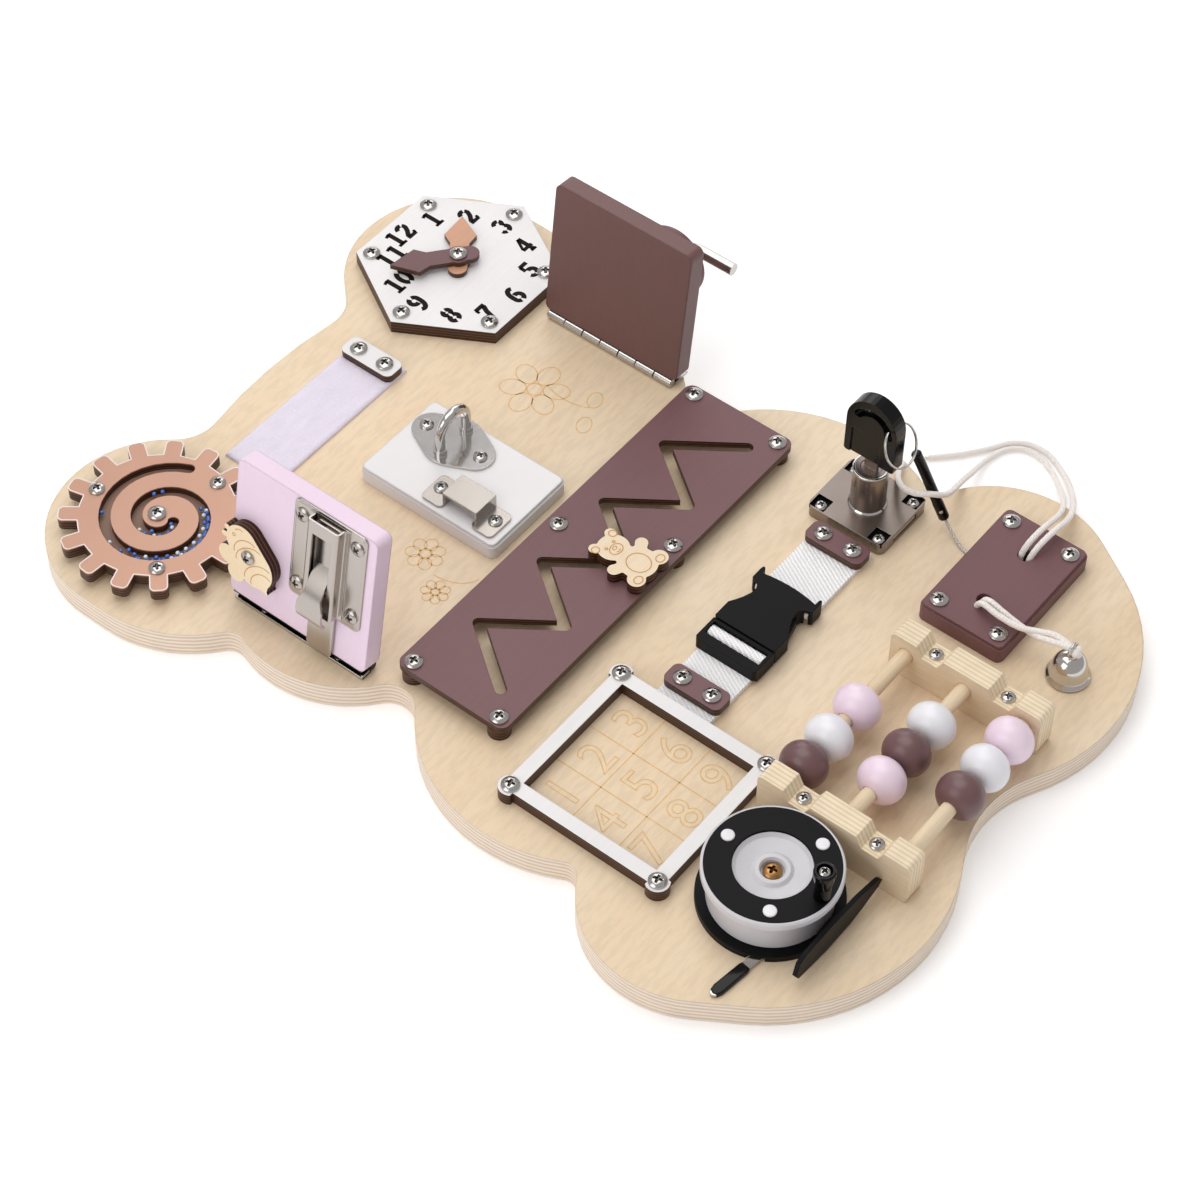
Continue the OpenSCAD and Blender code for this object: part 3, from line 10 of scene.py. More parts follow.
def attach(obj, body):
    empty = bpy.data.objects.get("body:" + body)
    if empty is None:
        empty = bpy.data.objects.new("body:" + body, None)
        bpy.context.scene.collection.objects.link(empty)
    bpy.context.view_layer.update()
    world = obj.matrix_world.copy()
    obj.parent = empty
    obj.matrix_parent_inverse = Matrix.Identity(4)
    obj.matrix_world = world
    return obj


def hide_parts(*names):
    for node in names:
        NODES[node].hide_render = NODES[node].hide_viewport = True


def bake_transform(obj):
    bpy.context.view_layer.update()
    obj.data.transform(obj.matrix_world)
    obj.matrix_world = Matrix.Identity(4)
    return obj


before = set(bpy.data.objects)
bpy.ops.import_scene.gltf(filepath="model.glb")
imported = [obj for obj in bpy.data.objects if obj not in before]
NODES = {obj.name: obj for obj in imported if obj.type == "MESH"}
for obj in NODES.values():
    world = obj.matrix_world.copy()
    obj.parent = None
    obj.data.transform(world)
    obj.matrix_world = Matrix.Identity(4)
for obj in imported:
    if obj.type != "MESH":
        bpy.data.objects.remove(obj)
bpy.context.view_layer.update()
MM = 0.001

# Heights and places shared by several pieces, in millimetres
TOP = 15.0
GEAR, GEAR_TOP = (-118.0, 194.5), 26.5
CLOCK, DIAL_TOP = (118.0, 192.3), 23.0
TRACK = (4.6, 4.7)
CATCH = (-14.4, 75.8)
EYE = (14.3, 109.4)
GRID = (-92.3, -94.6)
CASE, CASE_TOP = (117.2, -80.3), 20.1
LACING = (116.6, -164.6)
COUNTER = (-7.9, -190.5)
REEL, REEL_TOP = (-105.7, -182.5), 42.4
BELL = (92.0, -219.5)
STRAP_Y = -84.4
TAPE_Y = 184.3

# The left door as a flat frame: up the door, along the board and out of its outer face
DOOR_Y, AXIS_Z, FACE_OFF = 91.8, 17.7, 10.0
LEFT_AXIS, RIGHT_AXIS = -118.6, 123.7
LEFT_LEAN = radians(10.8)
LEFT_UP = Vector((sin(LEFT_LEAN), 0, cos(LEFT_LEAN)))
LEFT_OUT = Vector((-cos(LEFT_LEAN), 0, sin(LEFT_LEAN)))
LEFT_ORIGIN = Vector((LEFT_AXIS, DOOR_Y, AXIS_Z)) + LEFT_OUT * FACE_OFF

# Palette, as the photograph shows each finish
BURNT = (42, 23, 14)
BURNT_LIGHT = (110, 66, 40)
MAUVE = (115, 79, 82)
BROWN = (111, 78, 76)
PINK = (233, 211, 229)
WHITE = (231, 229, 229)
COPPER = (195, 152, 131)
STEEL = (196, 192, 188)
NICKEL = (150, 139, 132)
BLACK = (9, 8, 10)
CORD = (250, 243, 238)


def linear(c):
    """An sRGB colour in 0 to 255 as linear RGBA."""
    out = []
    for v in c[:3]:
        v = v / 255
        out.append(v / 12.92 if v <= 0.04045 else ((v + 0.055) / 1.055) ** 2.4)
    return (*out, 1.0)


def shade(c, k):
    """A colour made lighter or darker by the factor k."""
    return tuple(max(0.0, min(255.0, v * k)) for v in c)


class Finish:
    """A node material that is built up one socket at a time."""

    def __init__(self, name):
        self.mat = bpy.data.materials.new(name)
        self.mat.use_nodes = True
        self.tree = self.mat.node_tree
        self.tree.nodes.clear()
        out = self.tree.nodes.new("ShaderNodeOutputMaterial")
        self.bsdf = self.tree.nodes.new("ShaderNodeBsdfPrincipled")
        self.tree.links.new(self.bsdf.outputs[0], out.inputs["Surface"])
        coord = self.tree.nodes.new("ShaderNodeTexCoord")
        self.place = coord.outputs["Object"]
        self.normal = coord.outputs["Normal"]

    def give(self, node, sockets):
        """Sets or links sockets by name or number."""
        for key, value in sockets.items():
            socket = node.inputs[key]
            if isinstance(value, bpy.types.NodeSocket):
                self.tree.links.new(value, socket)
            elif isinstance(value, tuple) and len(value) == 3 and socket.type == "RGBA":
                socket.default_value = linear(value)
            else:
                socket.default_value = value
        return node

    def node(self, kind, sockets, **props):
        made = self.tree.nodes.new(kind)
        for key, value in props.items():
            setattr(made, key, value)
        return self.give(made, sockets)

    def surface(self, colour, rough, specular, normal=None, **others):
        """Sets the shader's own sockets; an underscore stands for a blank in a name."""
        sockets = {"Base Color": colour, "Roughness": rough, "Specular IOR Level": specular}
        if normal is not None:
            sockets["Normal"] = normal
        sockets.update({key.replace("_", " "): value for key, value in others.items()})
        self.give(self.bsdf, sockets)
        return self.mat

    def math(self, operation, a, b=0.0, clamp=False):
        return self.node("ShaderNodeMath", {0: a, 1: b}, operation=operation, use_clamp=clamp).outputs[0]

    def level(self, fac, reach, base):
        """A factor scaled to its reach, above a base."""
        return self.math("ADD", self.math("MULTIPLY", fac, reach), base)

    def sum(self, a, share_a, b, share_b):
        """Two factors added up, each at its share."""
        return self.level(a, share_a, self.math("MULTIPLY", b, share_b))

    def stretch(self, scale, turn=(0, 0, 0)):
        """The object's own coordinates, scaled and turned."""
        sockets = {"Vector": self.place, "Scale": scale, "Rotation": turn}
        return self.node("ShaderNodeMapping", sockets).outputs[0]

    def noise(self, scale, detail=3.0, rough=0.5, grain=None, distortion=0.0):
        """Soft noise; a grain scales the coordinates first."""
        sockets = {"Vector": self.stretch(grain) if grain else self.place, "Scale": scale,
                   "Detail": detail, "Roughness": rough, "Distortion": distortion}
        return self.node("ShaderNodeTexNoise", sockets).outputs["Fac"]

    def wave(self, turn, scale, distortion, direction="X", detail=2.0, detail_scale=1.0):
        """Bands across one axis of the turned coordinates."""
        sockets = {"Vector": self.stretch((1, 1, 1), turn), "Scale": scale, "Distortion": distortion,
                   "Detail": detail, "Detail Scale": detail_scale}
        return self.node("ShaderNodeTexWave", sockets, bands_direction=direction).outputs["Fac"]

    def ramp(self, fac, stops):
        """A colour ramp; a stop is its place and its colour or grey level."""
        made = self.node("ShaderNodeValToRGB", {"Fac": fac})
        keys = made.color_ramp.elements
        while len(keys) < len(stops):
            keys.new(1.0)
        for key, (at, value) in zip(keys, stops):
            key.position = at
            key.color = linear(value) if isinstance(value, tuple) else (value, value, value, 1)
        return made.outputs["Color"]

    def tint(self, fac, colour, low, high, start=0.3, end=0.7):
        """A colour that goes from its low shade to its high one as a factor grows."""
        return self.ramp(fac, [(start, shade(colour, low)), (end, shade(colour, high))])

    def mix(self, fac, a, b, blend="MIX"):
        sockets = {0: fac, 6: a, 7: b}
        return self.node("ShaderNodeMix", sockets, data_type="RGBA", blend_type=blend).outputs[2]

    def bump(self, height, strength, distance, normal=None):
        sockets = {"Height": height, "Strength": strength, "Distance": distance}
        if normal is not None:
            sockets["Normal"] = normal
        return self.node("ShaderNodeBump", sockets).outputs[0]

    def along(self, axis, vector=None):
        """How far a point, or a given vector, reaches along an axis."""
        sockets = {0: vector or self.place, 1: axis}
        return self.node("ShaderNodeVectorMath", sockets, operation="DOT_PRODUCT").outputs["Value"]

    def facing(self, axis, edge=0.7):
        """One on faces square to the axis, nought on the others."""
        flat = self.math("ABSOLUTE", self.along(axis, self.normal))
        return self.math("GREATER_THAN", flat, edge)

    def rounded(self, radius):
        """Normals softened over sharp edges, as sanding or moulding leaves them."""
        return self.node("ShaderNodeBevel", {"Radius": radius}, samples=4).outputs[0]


UP = (0.0, 0.0, 1.0)
GRAIN_X = (1.0, 14.0, 14.0)
GRAIN_Y = (14.0, 1.0, 14.0)
GRAIN_Z = (14.0, 14.0, 1.0)
BACK_Y = 0.1


def wood_tone(f, light, dark, grain, scale):
    """Streaked wood colour with slow clouds and fine pores."""
    streak = f.noise(scale, 6.0, 0.62, grain, 0.3)
    cloud = f.noise(9.0, 2.0, 0.5, tuple(g ** 0.5 for g in grain))
    pores = f.noise(scale * 9, 2.0, 0.6, tuple(g ** 1.3 for g in grain))
    middle = tuple((a + b) / 2 for a, b in zip(light, dark))
    tone = f.ramp(f.sum(streak, 0.62, cloud, 0.38), [(0.36, dark), (0.5, middle), (0.62, light)])
    return f.mix(0.7, tone, f.ramp(pores, [(0.40, 0.90), (0.56, 1.0)]), "MULTIPLY"), streak


def ply_edge(f, axis, start, pitch, light, dark, share=0.5):
    """Layers of plywood on a side face, stacked along an axis from start."""
    height = f.math("SUBTRACT", f.along(axis), start * MM)
    wobble = f.math("MULTIPLY", f.math("SUBTRACT", f.noise(40.0, 2.0), 0.5), pitch * MM * 0.35)
    phase = f.math("FRACT", f.math("DIVIDE", f.math("ADD", height, wobble), pitch * MM * 2))
    band = f.ramp(phase, [(0.0, light), (share - 0.06, light), (share + 0.04, dark), (0.94, dark),
                          (1.0, light)])
    streak = f.noise(90.0, 4.0, 0.6, (1.0, 1.0, 10.0))
    return f.mix(0.5, band, f.ramp(streak, [(0.35, 0.82), (0.62, 1.0)]), "MULTIPLY")


def burnt_sides(f, axis, start, pitch):
    """Browned layers that a laser leaves on the side of plywood."""
    return ply_edge(f, axis, start, pitch, BURNT_LIGHT, BURNT, 0.26)


def pale_ply():
    """Lacquered birch plywood with a sanded, laminated edge."""
    f = Finish("pale_ply")
    face, streak = wood_tone(f, (234, 214, 185), (229, 204, 171), (1.0, 3.0, 3.0), 9.0)
    edge = ply_edge(f, UP, 0.0, 1.36, (238, 224, 208), (216, 192, 168))
    return f.surface(f.mix(f.facing(UP), edge, face), 0.46, 0.35, Coat_Weight=0.12, Coat_Roughness=0.35,
                     normal=f.bump(streak, 0.12, 0.0004, f.rounded(0.0012)))


def natural_ply(name, axis, grain, pitch, cut=0.6):
    """Bare sanded plywood whose layers are stacked along an axis."""
    f = Finish(name)
    face, streak = wood_tone(f, (238, 220, 192), (226, 202, 168), grain, 70.0)
    edge = ply_edge(f, axis, 0.0, pitch, (240, 224, 196), (226, 202, 166), 0.62)
    return f.surface(f.mix(f.facing(axis, cut), edge, face), 0.55, 0.3,
                     f.bump(streak, 0.2, 0.0003, f.rounded(0.0009)))


def cut_wood(name, axis, start, light, dark):
    """Bare thin plywood with burnt sides."""
    f = Finish(name)
    face, streak = wood_tone(f, light, dark, GRAIN_X, 90.0)
    colour = f.mix(f.facing(axis, 0.8), burnt_sides(f, axis, start, 1.1), face)
    return f.surface(colour, 0.5, 0.3, f.bump(streak, 0.15, 0.0002))


def painted_ply(name, colour, burnt=True, gloss=0.42, relief=0.16, grain=GRAIN_X, pitch=0.95,
                round_over=0.0006, streaks=0.35, back_colour=None):
    """Paint over wood: the grain stands through it a little, and the sides may be burnt.

    Where a back colour is given, it takes over on the pieces at the back of the board."""
    f = Finish(name)
    mottle = f.noise(14.0, 4.0, 0.55)
    paint = f.mix(0.55, colour, f.tint(mottle, colour, 0.955, 1.03))
    grain_lines = f.noise(46.0, 5.0, 0.65, grain)
    paint = f.mix(streaks, paint, f.tint(grain_lines, colour, 0.93, 1.02, 0.34, 0.6))
    if back_colour:
        at_back = f.math("GREATER_THAN", f.along((0.0, 1.0, 0.0)), BACK_Y)
        paint = f.mix(at_back, paint, f.tint(mottle, back_colour, 0.96, 1.0))
    if burnt:
        paint = f.mix(f.facing(UP), burnt_sides(f, UP, TOP, pitch), paint)
    height = f.sum(grain_lines, 0.75, f.noise(420.0, 3.0, 0.6), 0.25)
    return f.surface(paint, f.level(mottle, 0.12, gloss - 0.06), 0.42,
                     f.bump(height, relief, 0.0004, f.rounded(round_over)))


def turned_paint(name, colour, gloss=0.3):
    """Lacquer on a turned bead: smooth, with a faint grain."""
    f = Finish(name)
    mottle = f.noise(60.0, 4.0, 0.6)
    rings = f.noise(80.0, 3.0, 0.55, (1.0, 5.0, 5.0))
    return f.surface(f.mix(0.4, colour, f.tint(mottle, colour, 0.96, 1.03)),
                     f.level(mottle, 0.10, gloss - 0.05), 0.5, f.bump(rings, 0.10, 0.0003),
                     Coat_Weight=0.25, Coat_Roughness=0.22)


def metal(name, colour, rough, brush=(1.0, 1.0, 1.0), scratch=0.03, tint=0.015, metallic=1.0):
    """Plated metal with brush lines, small scratches and a slight bloom."""
    f = Finish(name)
    bloom = f.noise(38.0, 2.0, 0.5)
    lines = f.noise(500.0, 2.0, 0.5, brush)
    tone = f.mix(0.6, colour, f.tint(bloom, colour, 1 - tint * 2, 1 + tint))
    level = f.math("ADD", f.sum(bloom, 0.05, lines, 0.05), rough - 0.05)
    return f.surface(tone, level, 0.5, f.bump(lines, scratch, 0.0001, f.rounded(0.0003)), Metallic=metallic)


def moulded(name, colour, gloss, grainy=0.12, shine=0.5):
    """Moulded plastic with a fine spark-eroded skin."""
    f = Finish(name)
    cloud = f.noise(30.0, 3.0, 0.5)
    return f.surface(f.mix(0.5, colour, f.tint(cloud, colour, 0.93, 1.07)),
                     f.level(cloud, 0.14, gloss - 0.07), shine,
                     f.bump(f.noise(900.0, 2.0, 0.5), grainy, 0.00008, f.rounded(0.0006)))


def cotton(name, colour):
    """Soft cord: crossed strands and a little fuzz."""
    f = Finish(name)
    strands = f.wave((0.6, 0.5, 0.7), 375.0, 2.0)
    crossed = f.wave((-0.6, -0.5, -0.7), 375.0, 2.0, "Y")
    weave = f.math("MULTIPLY", f.math("ADD", strands, crossed), 0.5)
    # Darker where the strands sink: painted shade in the grooves, mixed with random fuzz.
    tone = f.tint(f.sum(weave, 0.6, f.noise(2200.0, 3.0, 0.7), 0.4), colour, 0.9, 1.0, 0.25, 0.55)
    return f.surface(tone, 0.9, 0.15, f.bump(weave, 0.5, 0.0005), Sheen_Weight=0.35, Sheen_Roughness=0.5)


def woven(name, colour, pitch):
    """Coarse diagonal webbing: soft ribs across and a fine twill between them."""
    f = Finish(name)
    ribs = f.wave((0, 0, 0.5), 0.32 / (pitch * MM), 1.2, detail=1.0, detail_scale=2.0)
    twill = f.wave((0, 0, -0.9), 0.62 / (pitch * MM), 0.8)
    height = f.sum(ribs, 0.7, twill, 0.3)
    # Darker where the weave is low: painted shade between the ribs, with a little random fuzz.
    tone = f.ramp(f.sum(height, 0.8, f.noise(1500.0, 3.0, 0.7), 0.2),
                  [(0.15, shade(colour, 0.88)), (0.45, shade(colour, 0.98)), (0.75, colour)])
    return f.surface(tone, 0.85, 0.2, f.bump(height, 0.5, 0.0008), Sheen_Weight=0.25, Sheen_Roughness=0.5)


def pile(name, colour):
    """Short fuzzy loops of a fastening tape."""
    f = Finish(name)
    loops = f.noise(700.0, 5.0, 0.75)
    lay = f.noise(60.0, 3.0, 0.6, (1.0, 3.0, 1.0))
    # Darker between the loops: painted shade, mixed with a random lay of the pile.
    tone = f.tint(f.sum(loops, 0.6, lay, 0.4), colour, 0.93, 1.0, 0.3, 0.62)
    return f.surface(tone, 0.95, 0.1, f.bump(loops, 0.5, 0.0005), Sheen_Weight=0.4, Sheen_Roughness=0.4)


def stain(name, colour, rough=0.6):
    """Scorched wood in an engraved line; in the cut-through numbers, scorched wood with painted shade in the
    holes.
    """
    f = Finish(name)
    cloud = f.noise(300.0, 3.0, 0.6)
    return f.surface(f.tint(cloud, colour, 0.92, 1.05), rough, 0.2, f.bump(cloud, 0.2, 0.0002))


# Room, light and camera
WORLD_LEVEL = 0.59
WORLD_TONE = (0.81, 0.80, 0.80, 1)
BACKDROP = 1.02 / WORLD_LEVEL
FLOOR_GLOW, FAR_GLOW = 0.21, 0.4
GLOW_START, GLOW_RISE = 0.7, 0.9
FLOOR_HALF = 4.0
FLOOR_DROP = 0.0002


def linked(name, data):
    """A new object in the scene."""
    made = bpy.data.objects.new(name, data)
    bpy.context.scene.collection.objects.link(made)
    return made


def studio():
    """A soft grey world that the camera sees as white."""
    world = bpy.data.worlds.new("studio")
    bpy.context.scene.world = world
    world.use_nodes = True
    tree = world.node_tree
    back = tree.nodes["Background"]
    path = tree.nodes.new("ShaderNodeLightPath")
    pick = tree.nodes.new("ShaderNodeMix")
    pick.data_type = "RGBA"
    pick.inputs[6].default_value = WORLD_TONE
    pick.inputs[7].default_value = (BACKDROP, BACKDROP, BACKDROP, 1)
    tree.links.new(path.outputs["Is Camera Ray"], pick.inputs[0])
    tree.links.new(pick.outputs[2], back.inputs["Color"])
    back.inputs["Strength"].default_value = WORLD_LEVEL


def soft_light(name, place, aim, size, power, colour):
    data = bpy.data.lights.new(name, "AREA")
    data.shape = "RECTANGLE"
    data.size, data.size_y = size
    data.energy = power
    data.color = colour
    light = linked(name, data)
    light.location = place
    light.rotation_mode = "QUATERNION"
    light.rotation_quaternion = (Vector(aim) - Vector(place)).to_track_quat("-Z", "Y")


def floor():
    """A white floor that glows a little, and more so far from the board."""
    mesh = bpy.data.meshes.new("floor")
    corners = [(sx * FLOOR_HALF, sy * FLOOR_HALF, 0) for sx, sy in ((-1, -1), (1, -1), (1, 1), (-1, 1))]
    mesh.from_pydata(corners, [], [(0, 1, 2, 3)])
    piece = linked("floor", mesh)
    piece.location.z = -FLOOR_DROP
    f = Finish("floor_white")
    away = f.node("ShaderNodeVectorMath", {0: f.place}, operation="LENGTH").outputs["Value"]
    far = f.math("MULTIPLY", f.math("SUBTRACT", away, GLOW_START), GLOW_RISE, clamp=True)
    mesh.materials.append(f.surface((0.93, 0.93, 0.935, 1.0), 0.9, 0.1, Emission_Color=(1.0, 1.0, 1.0, 1.0),
                                    Emission_Strength=f.level(far, FAR_GLOW, FLOOR_GLOW)))


def camera():
    """The photograph's own viewpoint, worked out from the board's corners."""
    place = Vector((-828.753, -632.597, 1275.595)) * MM
    right = Vector((0.61786, -0.78622, 0.01068))
    up = Vector((0.60588, 0.48471, 0.63084))
    ahead = Vector((0.50116, 0.38330, -0.77584))
    data = bpy.data.cameras.new("camera")
    data.sensor_width = 36.0
    data.lens = 97.2
    data.clip_start, data.clip_end = 0.05, 20.0
    made = linked("camera", data)
    turn = Matrix((right, up, -ahead)).transposed().to_4x4()
    made.matrix_world = Matrix.Translation(place) @ turn
    bpy.context.scene.camera = made


bpy.context.scene.view_settings.view_transform = "Standard"
studio()
floor()
camera()
soft_light("overhead", (0.15, 0.35, 1.5), (0, 0, 0), (1.4, 1.4), 12.2, (1.0, 0.995, 0.98))
soft_light("window", (-1.3, 0.25, 0.9), (0, 0, 0.03), (1.0, 1.2), 6.6, (1.0, 0.985, 0.965))
soft_light("rim", (1.2, 0.9, 0.8), (0, 0, 0.03), (0.9, 0.9), 4.6, (0.99, 0.99, 1.0))

# Materials
steel = metal("steel", STEEL, 0.18)
polished = metal("polished", (204, 201, 198), 0.13)
brushed = metal("brushed", (180, 173, 167), 0.24, (60.0, 1.0, 60.0), 0.06)
nickel = metal("nickel", NICKEL, 0.28, (6.0, 6.0, 40.0))
# Hinge steel painted near black: a painted shade for the hinge parts in the shadow under the left door.
painted_shade_steel = metal("painted_shade_steel", (44, 40, 39), 0.3)
# The recess looks are the same steel and brass painted darker: painted shade in the cross recesses of the
# heads.
recess_shade_steel = metal("recess_shade_steel", (96, 92, 90), 0.42, scratch=0.1)
brass = metal("brass", (176, 132, 84), 0.3, scratch=0.08)
recess_shade_brass = metal("recess_shade_brass", (70, 48, 28), 0.5)
mauve_block = painted_ply("mauve_block", MAUVE, False, 0.5, 0.22, round_over=0.0008)
white_ply = painted_ply("white_ply", WHITE, gloss=0.4, streaks=0.15)
black_plastic = moulded("black_plastic", BLACK, 0.46, shine=0.14)
black_gloss = moulded("black_gloss", (6, 6, 7), 0.16, 0.03, 0.24)
white_plastic = moulded("white_plastic", (232, 231, 234), 0.32, 0.04)
# A pale line for the gear cover's clear edge: partly its own tint, partly a painted highlight on its bevel.
clear_edge_highlight = moulded("clear_edge_highlight", (240, 226, 222), 0.2, 0.02)
cord_cotton = cotton("cord_cotton", CORD)
webbing = woven("webbing", (255, 254, 255), 2.0)
tape_pile = pile("tape_pile", (232, 224, 238))
bead_blue = turned_paint("bead_blue", (62, 112, 200), 0.2)
bead_clear = turned_paint("bead_clear", (214, 226, 238), 0.15)
engraved = stain("engraved_line", (226, 184, 122))
scorched = stain("scorched_line", (206, 150, 84))
# The dark of the cut-through clock numbers: scorched wood, and painted shade for the depth of the holes.
cut_scorch_and_shade = stain("cut_scorch_and_shade", (26, 16, 12), 0.8)

# The look of each carried-over piece, with the pieces that share it
LOOKS = [
    (pale_ply(), "board"),
    (steel, "screws gear_screws right_leaf lever track_pin lock_bolt key_wire reel_lever"),
    (polished, "pad_eye key_ring bell"),
    (brushed, "left_fittings latch_tongue latch_catch"),
    (nickel, "lock_case key"),
    (painted_shade_steel, "hinge_bases left_leaf"),
    (metal("copper_face", COPPER, 0.36, scratch=0.01, tint=0.01, metallic=0.45), "gear_face"),
    (painted_ply("burnt_ply", BURNT_LIGHT), "spacers"),
    (painted_ply("gear_ply", (140, 108, 92)), "gear"),
    (painted_ply("mauve_ply", MAUVE), "track_plate"),
    (painted_ply("clamp_ply", MAUVE, back_colour=WHITE), "clamp_plates"),
    (painted_ply("copper_hand", (200, 150, 120), gloss=0.3, relief=0.03, pitch=0.75), "hour_hand"),
    (painted_ply("mauve_hand", shade(MAUVE, 0.95), gloss=0.4, relief=0.08, pitch=0.75), "minute_hand"),
    (white_ply, "clock_dial number_frame"),
    (mauve_block, "lever_disc lacing_block"),
    (painted_ply("white_block", WHITE, False, 0.34, 0.02, round_over=0.0016, streaks=0.04), "middle_block"),
    (painted_ply("pink_door", PINK, False, 0.46, 0.04, GRAIN_Z, round_over=0.0014, streaks=0.08),
     "left_door"),
    (painted_ply("brown_door", BROWN, False, 0.46, 0.2, GRAIN_Z, round_over=0.0014), "right_door"),
    (cut_wood("bee_wood", tuple(LEFT_OUT), LEFT_ORIGIN.dot(LEFT_OUT), (246, 228, 198), (238, 214, 178)),
     "bee"),
    (cut_wood("slider_wood", UP, TOP, (242, 224, 198), (233, 211, 180)), "slider_bear"),
    (natural_ply("upright_ply", (1.0, 0.0, 0.0), GRAIN_Y, 1.25), "counter_brackets"),
    (natural_ply("dowel_wood", UP, GRAIN_X, 30.0, -1.0), "dowels"),
    (black_plastic, "buckle_plug buckle_socket key_sleeve reel_base reel_face"),
    (black_gloss, "key_grip reel_knob"),
    (moulded("grey_plastic", (206, 204, 208), 0.3, 0.05), "reel_drum"),
    (cord_cotton, "loop_tape strap_webbing free_webbing lace_a lace_b bell_lace"),
    (turned_paint("bead_pink", (240, 218, 234)), "bead_1_pink bead_2_pink bead_3_pink"),
    (turned_paint("bead_white", (236, 235, 240)), "bead_1_white bead_2_white bead_3_white"),
    (turned_paint("bead_brown", (108, 76, 78), 0.4), "bead_1_brown bead_2_brown bead_3_brown")]
for look, carried in LOOKS:
    for node in carried.split():
        slots = NODES[node].data.materials
        slots.clear()
        slots.append(look)


# Mesh helpers
PAIR = (-1, 1)
CORNERS = [(i, j) for i in PAIR for j in PAIR]


def local(origin, x=(1, 0, 0), z=(0, 0, 1)):
    """A frame in millimetres: its own x and z axes at an origin, scaled to metres."""
    z = Vector(z).normalized()
    x = Vector(x)
    x = (x - z * x.dot(z)).normalized()
    turn = Matrix((x, z.cross(x), z)).transposed().to_4x4()
    return Matrix.Translation(Vector(origin) * MM) @ turn @ Matrix.Scale(MM, 4)


FLAT = local((0, 0, 0))


def polar(centre, r, degrees):
    """A point at a distance and an angle from a centre."""
    a = radians(degrees)
    return centre[0] + r * cos(a), centre[1] + r * sin(a)


def circle(count):
    """Unit vectors all round, as cosine and sine."""
    return [(cos(2 * pi * k / count), sin(2 * pi * k / count)) for k in range(count)]


def path_length(points):
    return sum((b - a).length for a, b in zip(points, points[1:]))


def beside(path, i, closed=False):
    """The points before and after a point of a path; an open end stands in for what is missing."""
    n = len(path)
    if closed:
        return path[(i - 1) % n], path[(i + 1) % n]
    return path[max(i - 1, 0)], path[min(i + 1, n - 1)]


def finish_piece(name, bm, looks, replaced=None, smooth=38.0, body="backboard"):
    """Turns a bmesh into a named piece that rides on a body, and may replace a node."""
    mesh = bpy.data.meshes.new(name)
    bmesh.ops.recalc_face_normals(bm, faces=bm.faces)
    bm.to_mesh(mesh)
    bm.free()
    for look in looks if isinstance(looks, list) else [looks]:
        mesh.materials.append(look)
    for face in mesh.polygons:
        face.use_smooth = True
    mesh.set_sharp_from_angle(angle=radians(smooth))
    made = linked(name, mesh)
    if body:
        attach(made, body)
    if replaced:
        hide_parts(replaced)
    return made


def add_to(bm, made, m, slot=0):
    """Moves a small bmesh into a bigger one, through the matrix m; no slot leaves the looks."""
    if slot is not None:
        for face in made.faces:
            face.material_index = slot
    spare = bpy.data.meshes.new("spare")
    bmesh.ops.transform(made, matrix=m, verts=made.verts)
    made.to_mesh(spare)
    made.free()
    bm.from_mesh(spare)
    bpy.data.meshes.remove(spare)


def ease(made, edges, offset, segments=2):
    """Rounds edges over."""
    bmesh.ops.bevel(made, geom=edges, offset=offset, segments=segments, profile=0.5,
                    affect="EDGES", clamp_overlap=True)


def prism(bm, points, low, high, m, bevel, segments=2, slot=0, both=False):
    """An upright solid on an outline, with its top edge, or both edges, eased."""
    made = bmesh.new()
    face = made.faces.new([made.verts.new((x, y, low)) for x, y in points])
    top = bmesh.ops.extrude_face_region(made, geom=[face])["geom"]
    raised = [v for v in top if isinstance(v, bmesh.types.BMVert)]
    bmesh.ops.translate(made, vec=(0, 0, high - low), verts=raised)
    levels = (high, low) if both else (high,)
    rims = [e for z in levels for e in made.edges if all(abs(v.co.z - z) < 1e-6 for v in e.verts)]
    ease(made, rims, bevel, segments)
    add_to(bm, made, m, slot)


def round_box(w, l, r, steps=6):
    """A rectangle about a middle, with round corners."""
    out = []
    for i, (sx, sy) in enumerate([(1, 1), (-1, 1), (-1, -1), (1, -1)]):
        out += [polar((sx * (w / 2 - r), sy * (l / 2 - r)), r, 90 * i + 90 * k / steps)
                for k in range(steps + 1)]
    return out


def turned(made, rings):
    """Faces between rings of a turned form; a ring of one vertex is a tip."""
    count = max(len(ring) for ring in rings)
    for a, b in zip(rings, rings[1:]):
        for k in range(count):
            n = (k + 1) % count
            if len(a) == 1 and len(b) == 1:
                continue
            if len(a) == 1:
                made.faces.new((a[0], b[k], b[n]))
            elif len(b) == 1:
                made.faces.new((a[k], b[0], a[n]))
            else:
                made.faces.new((a[k], b[k], b[n], a[n]))


def wrapped(made, rows, closed=False):
    """Faces round a row of rings, and from the last ring to the first if it closes."""
    count = len(rows[0])
    for a, b in list(zip(rows, rows[1:])) + ([(rows[-1], rows[0])] if closed else []):
        for k in range(count):
            made.faces.new((a[k], a[(k + 1) % count], b[(k + 1) % count], b[k]))


def lathe(bm, profile, m, count=64, slot=0):
    """Turns a profile of (radius, height) points round its own axis."""
    made = bmesh.new()
    turned(made, [[made.verts.new((r * c, r * s, z)) for c, s in (circle(count) if r > 1e-6 else [(0, 0)])]
                  for r, z in profile])
    add_to(bm, made, m, slot)


FILLET_STEPS = 5


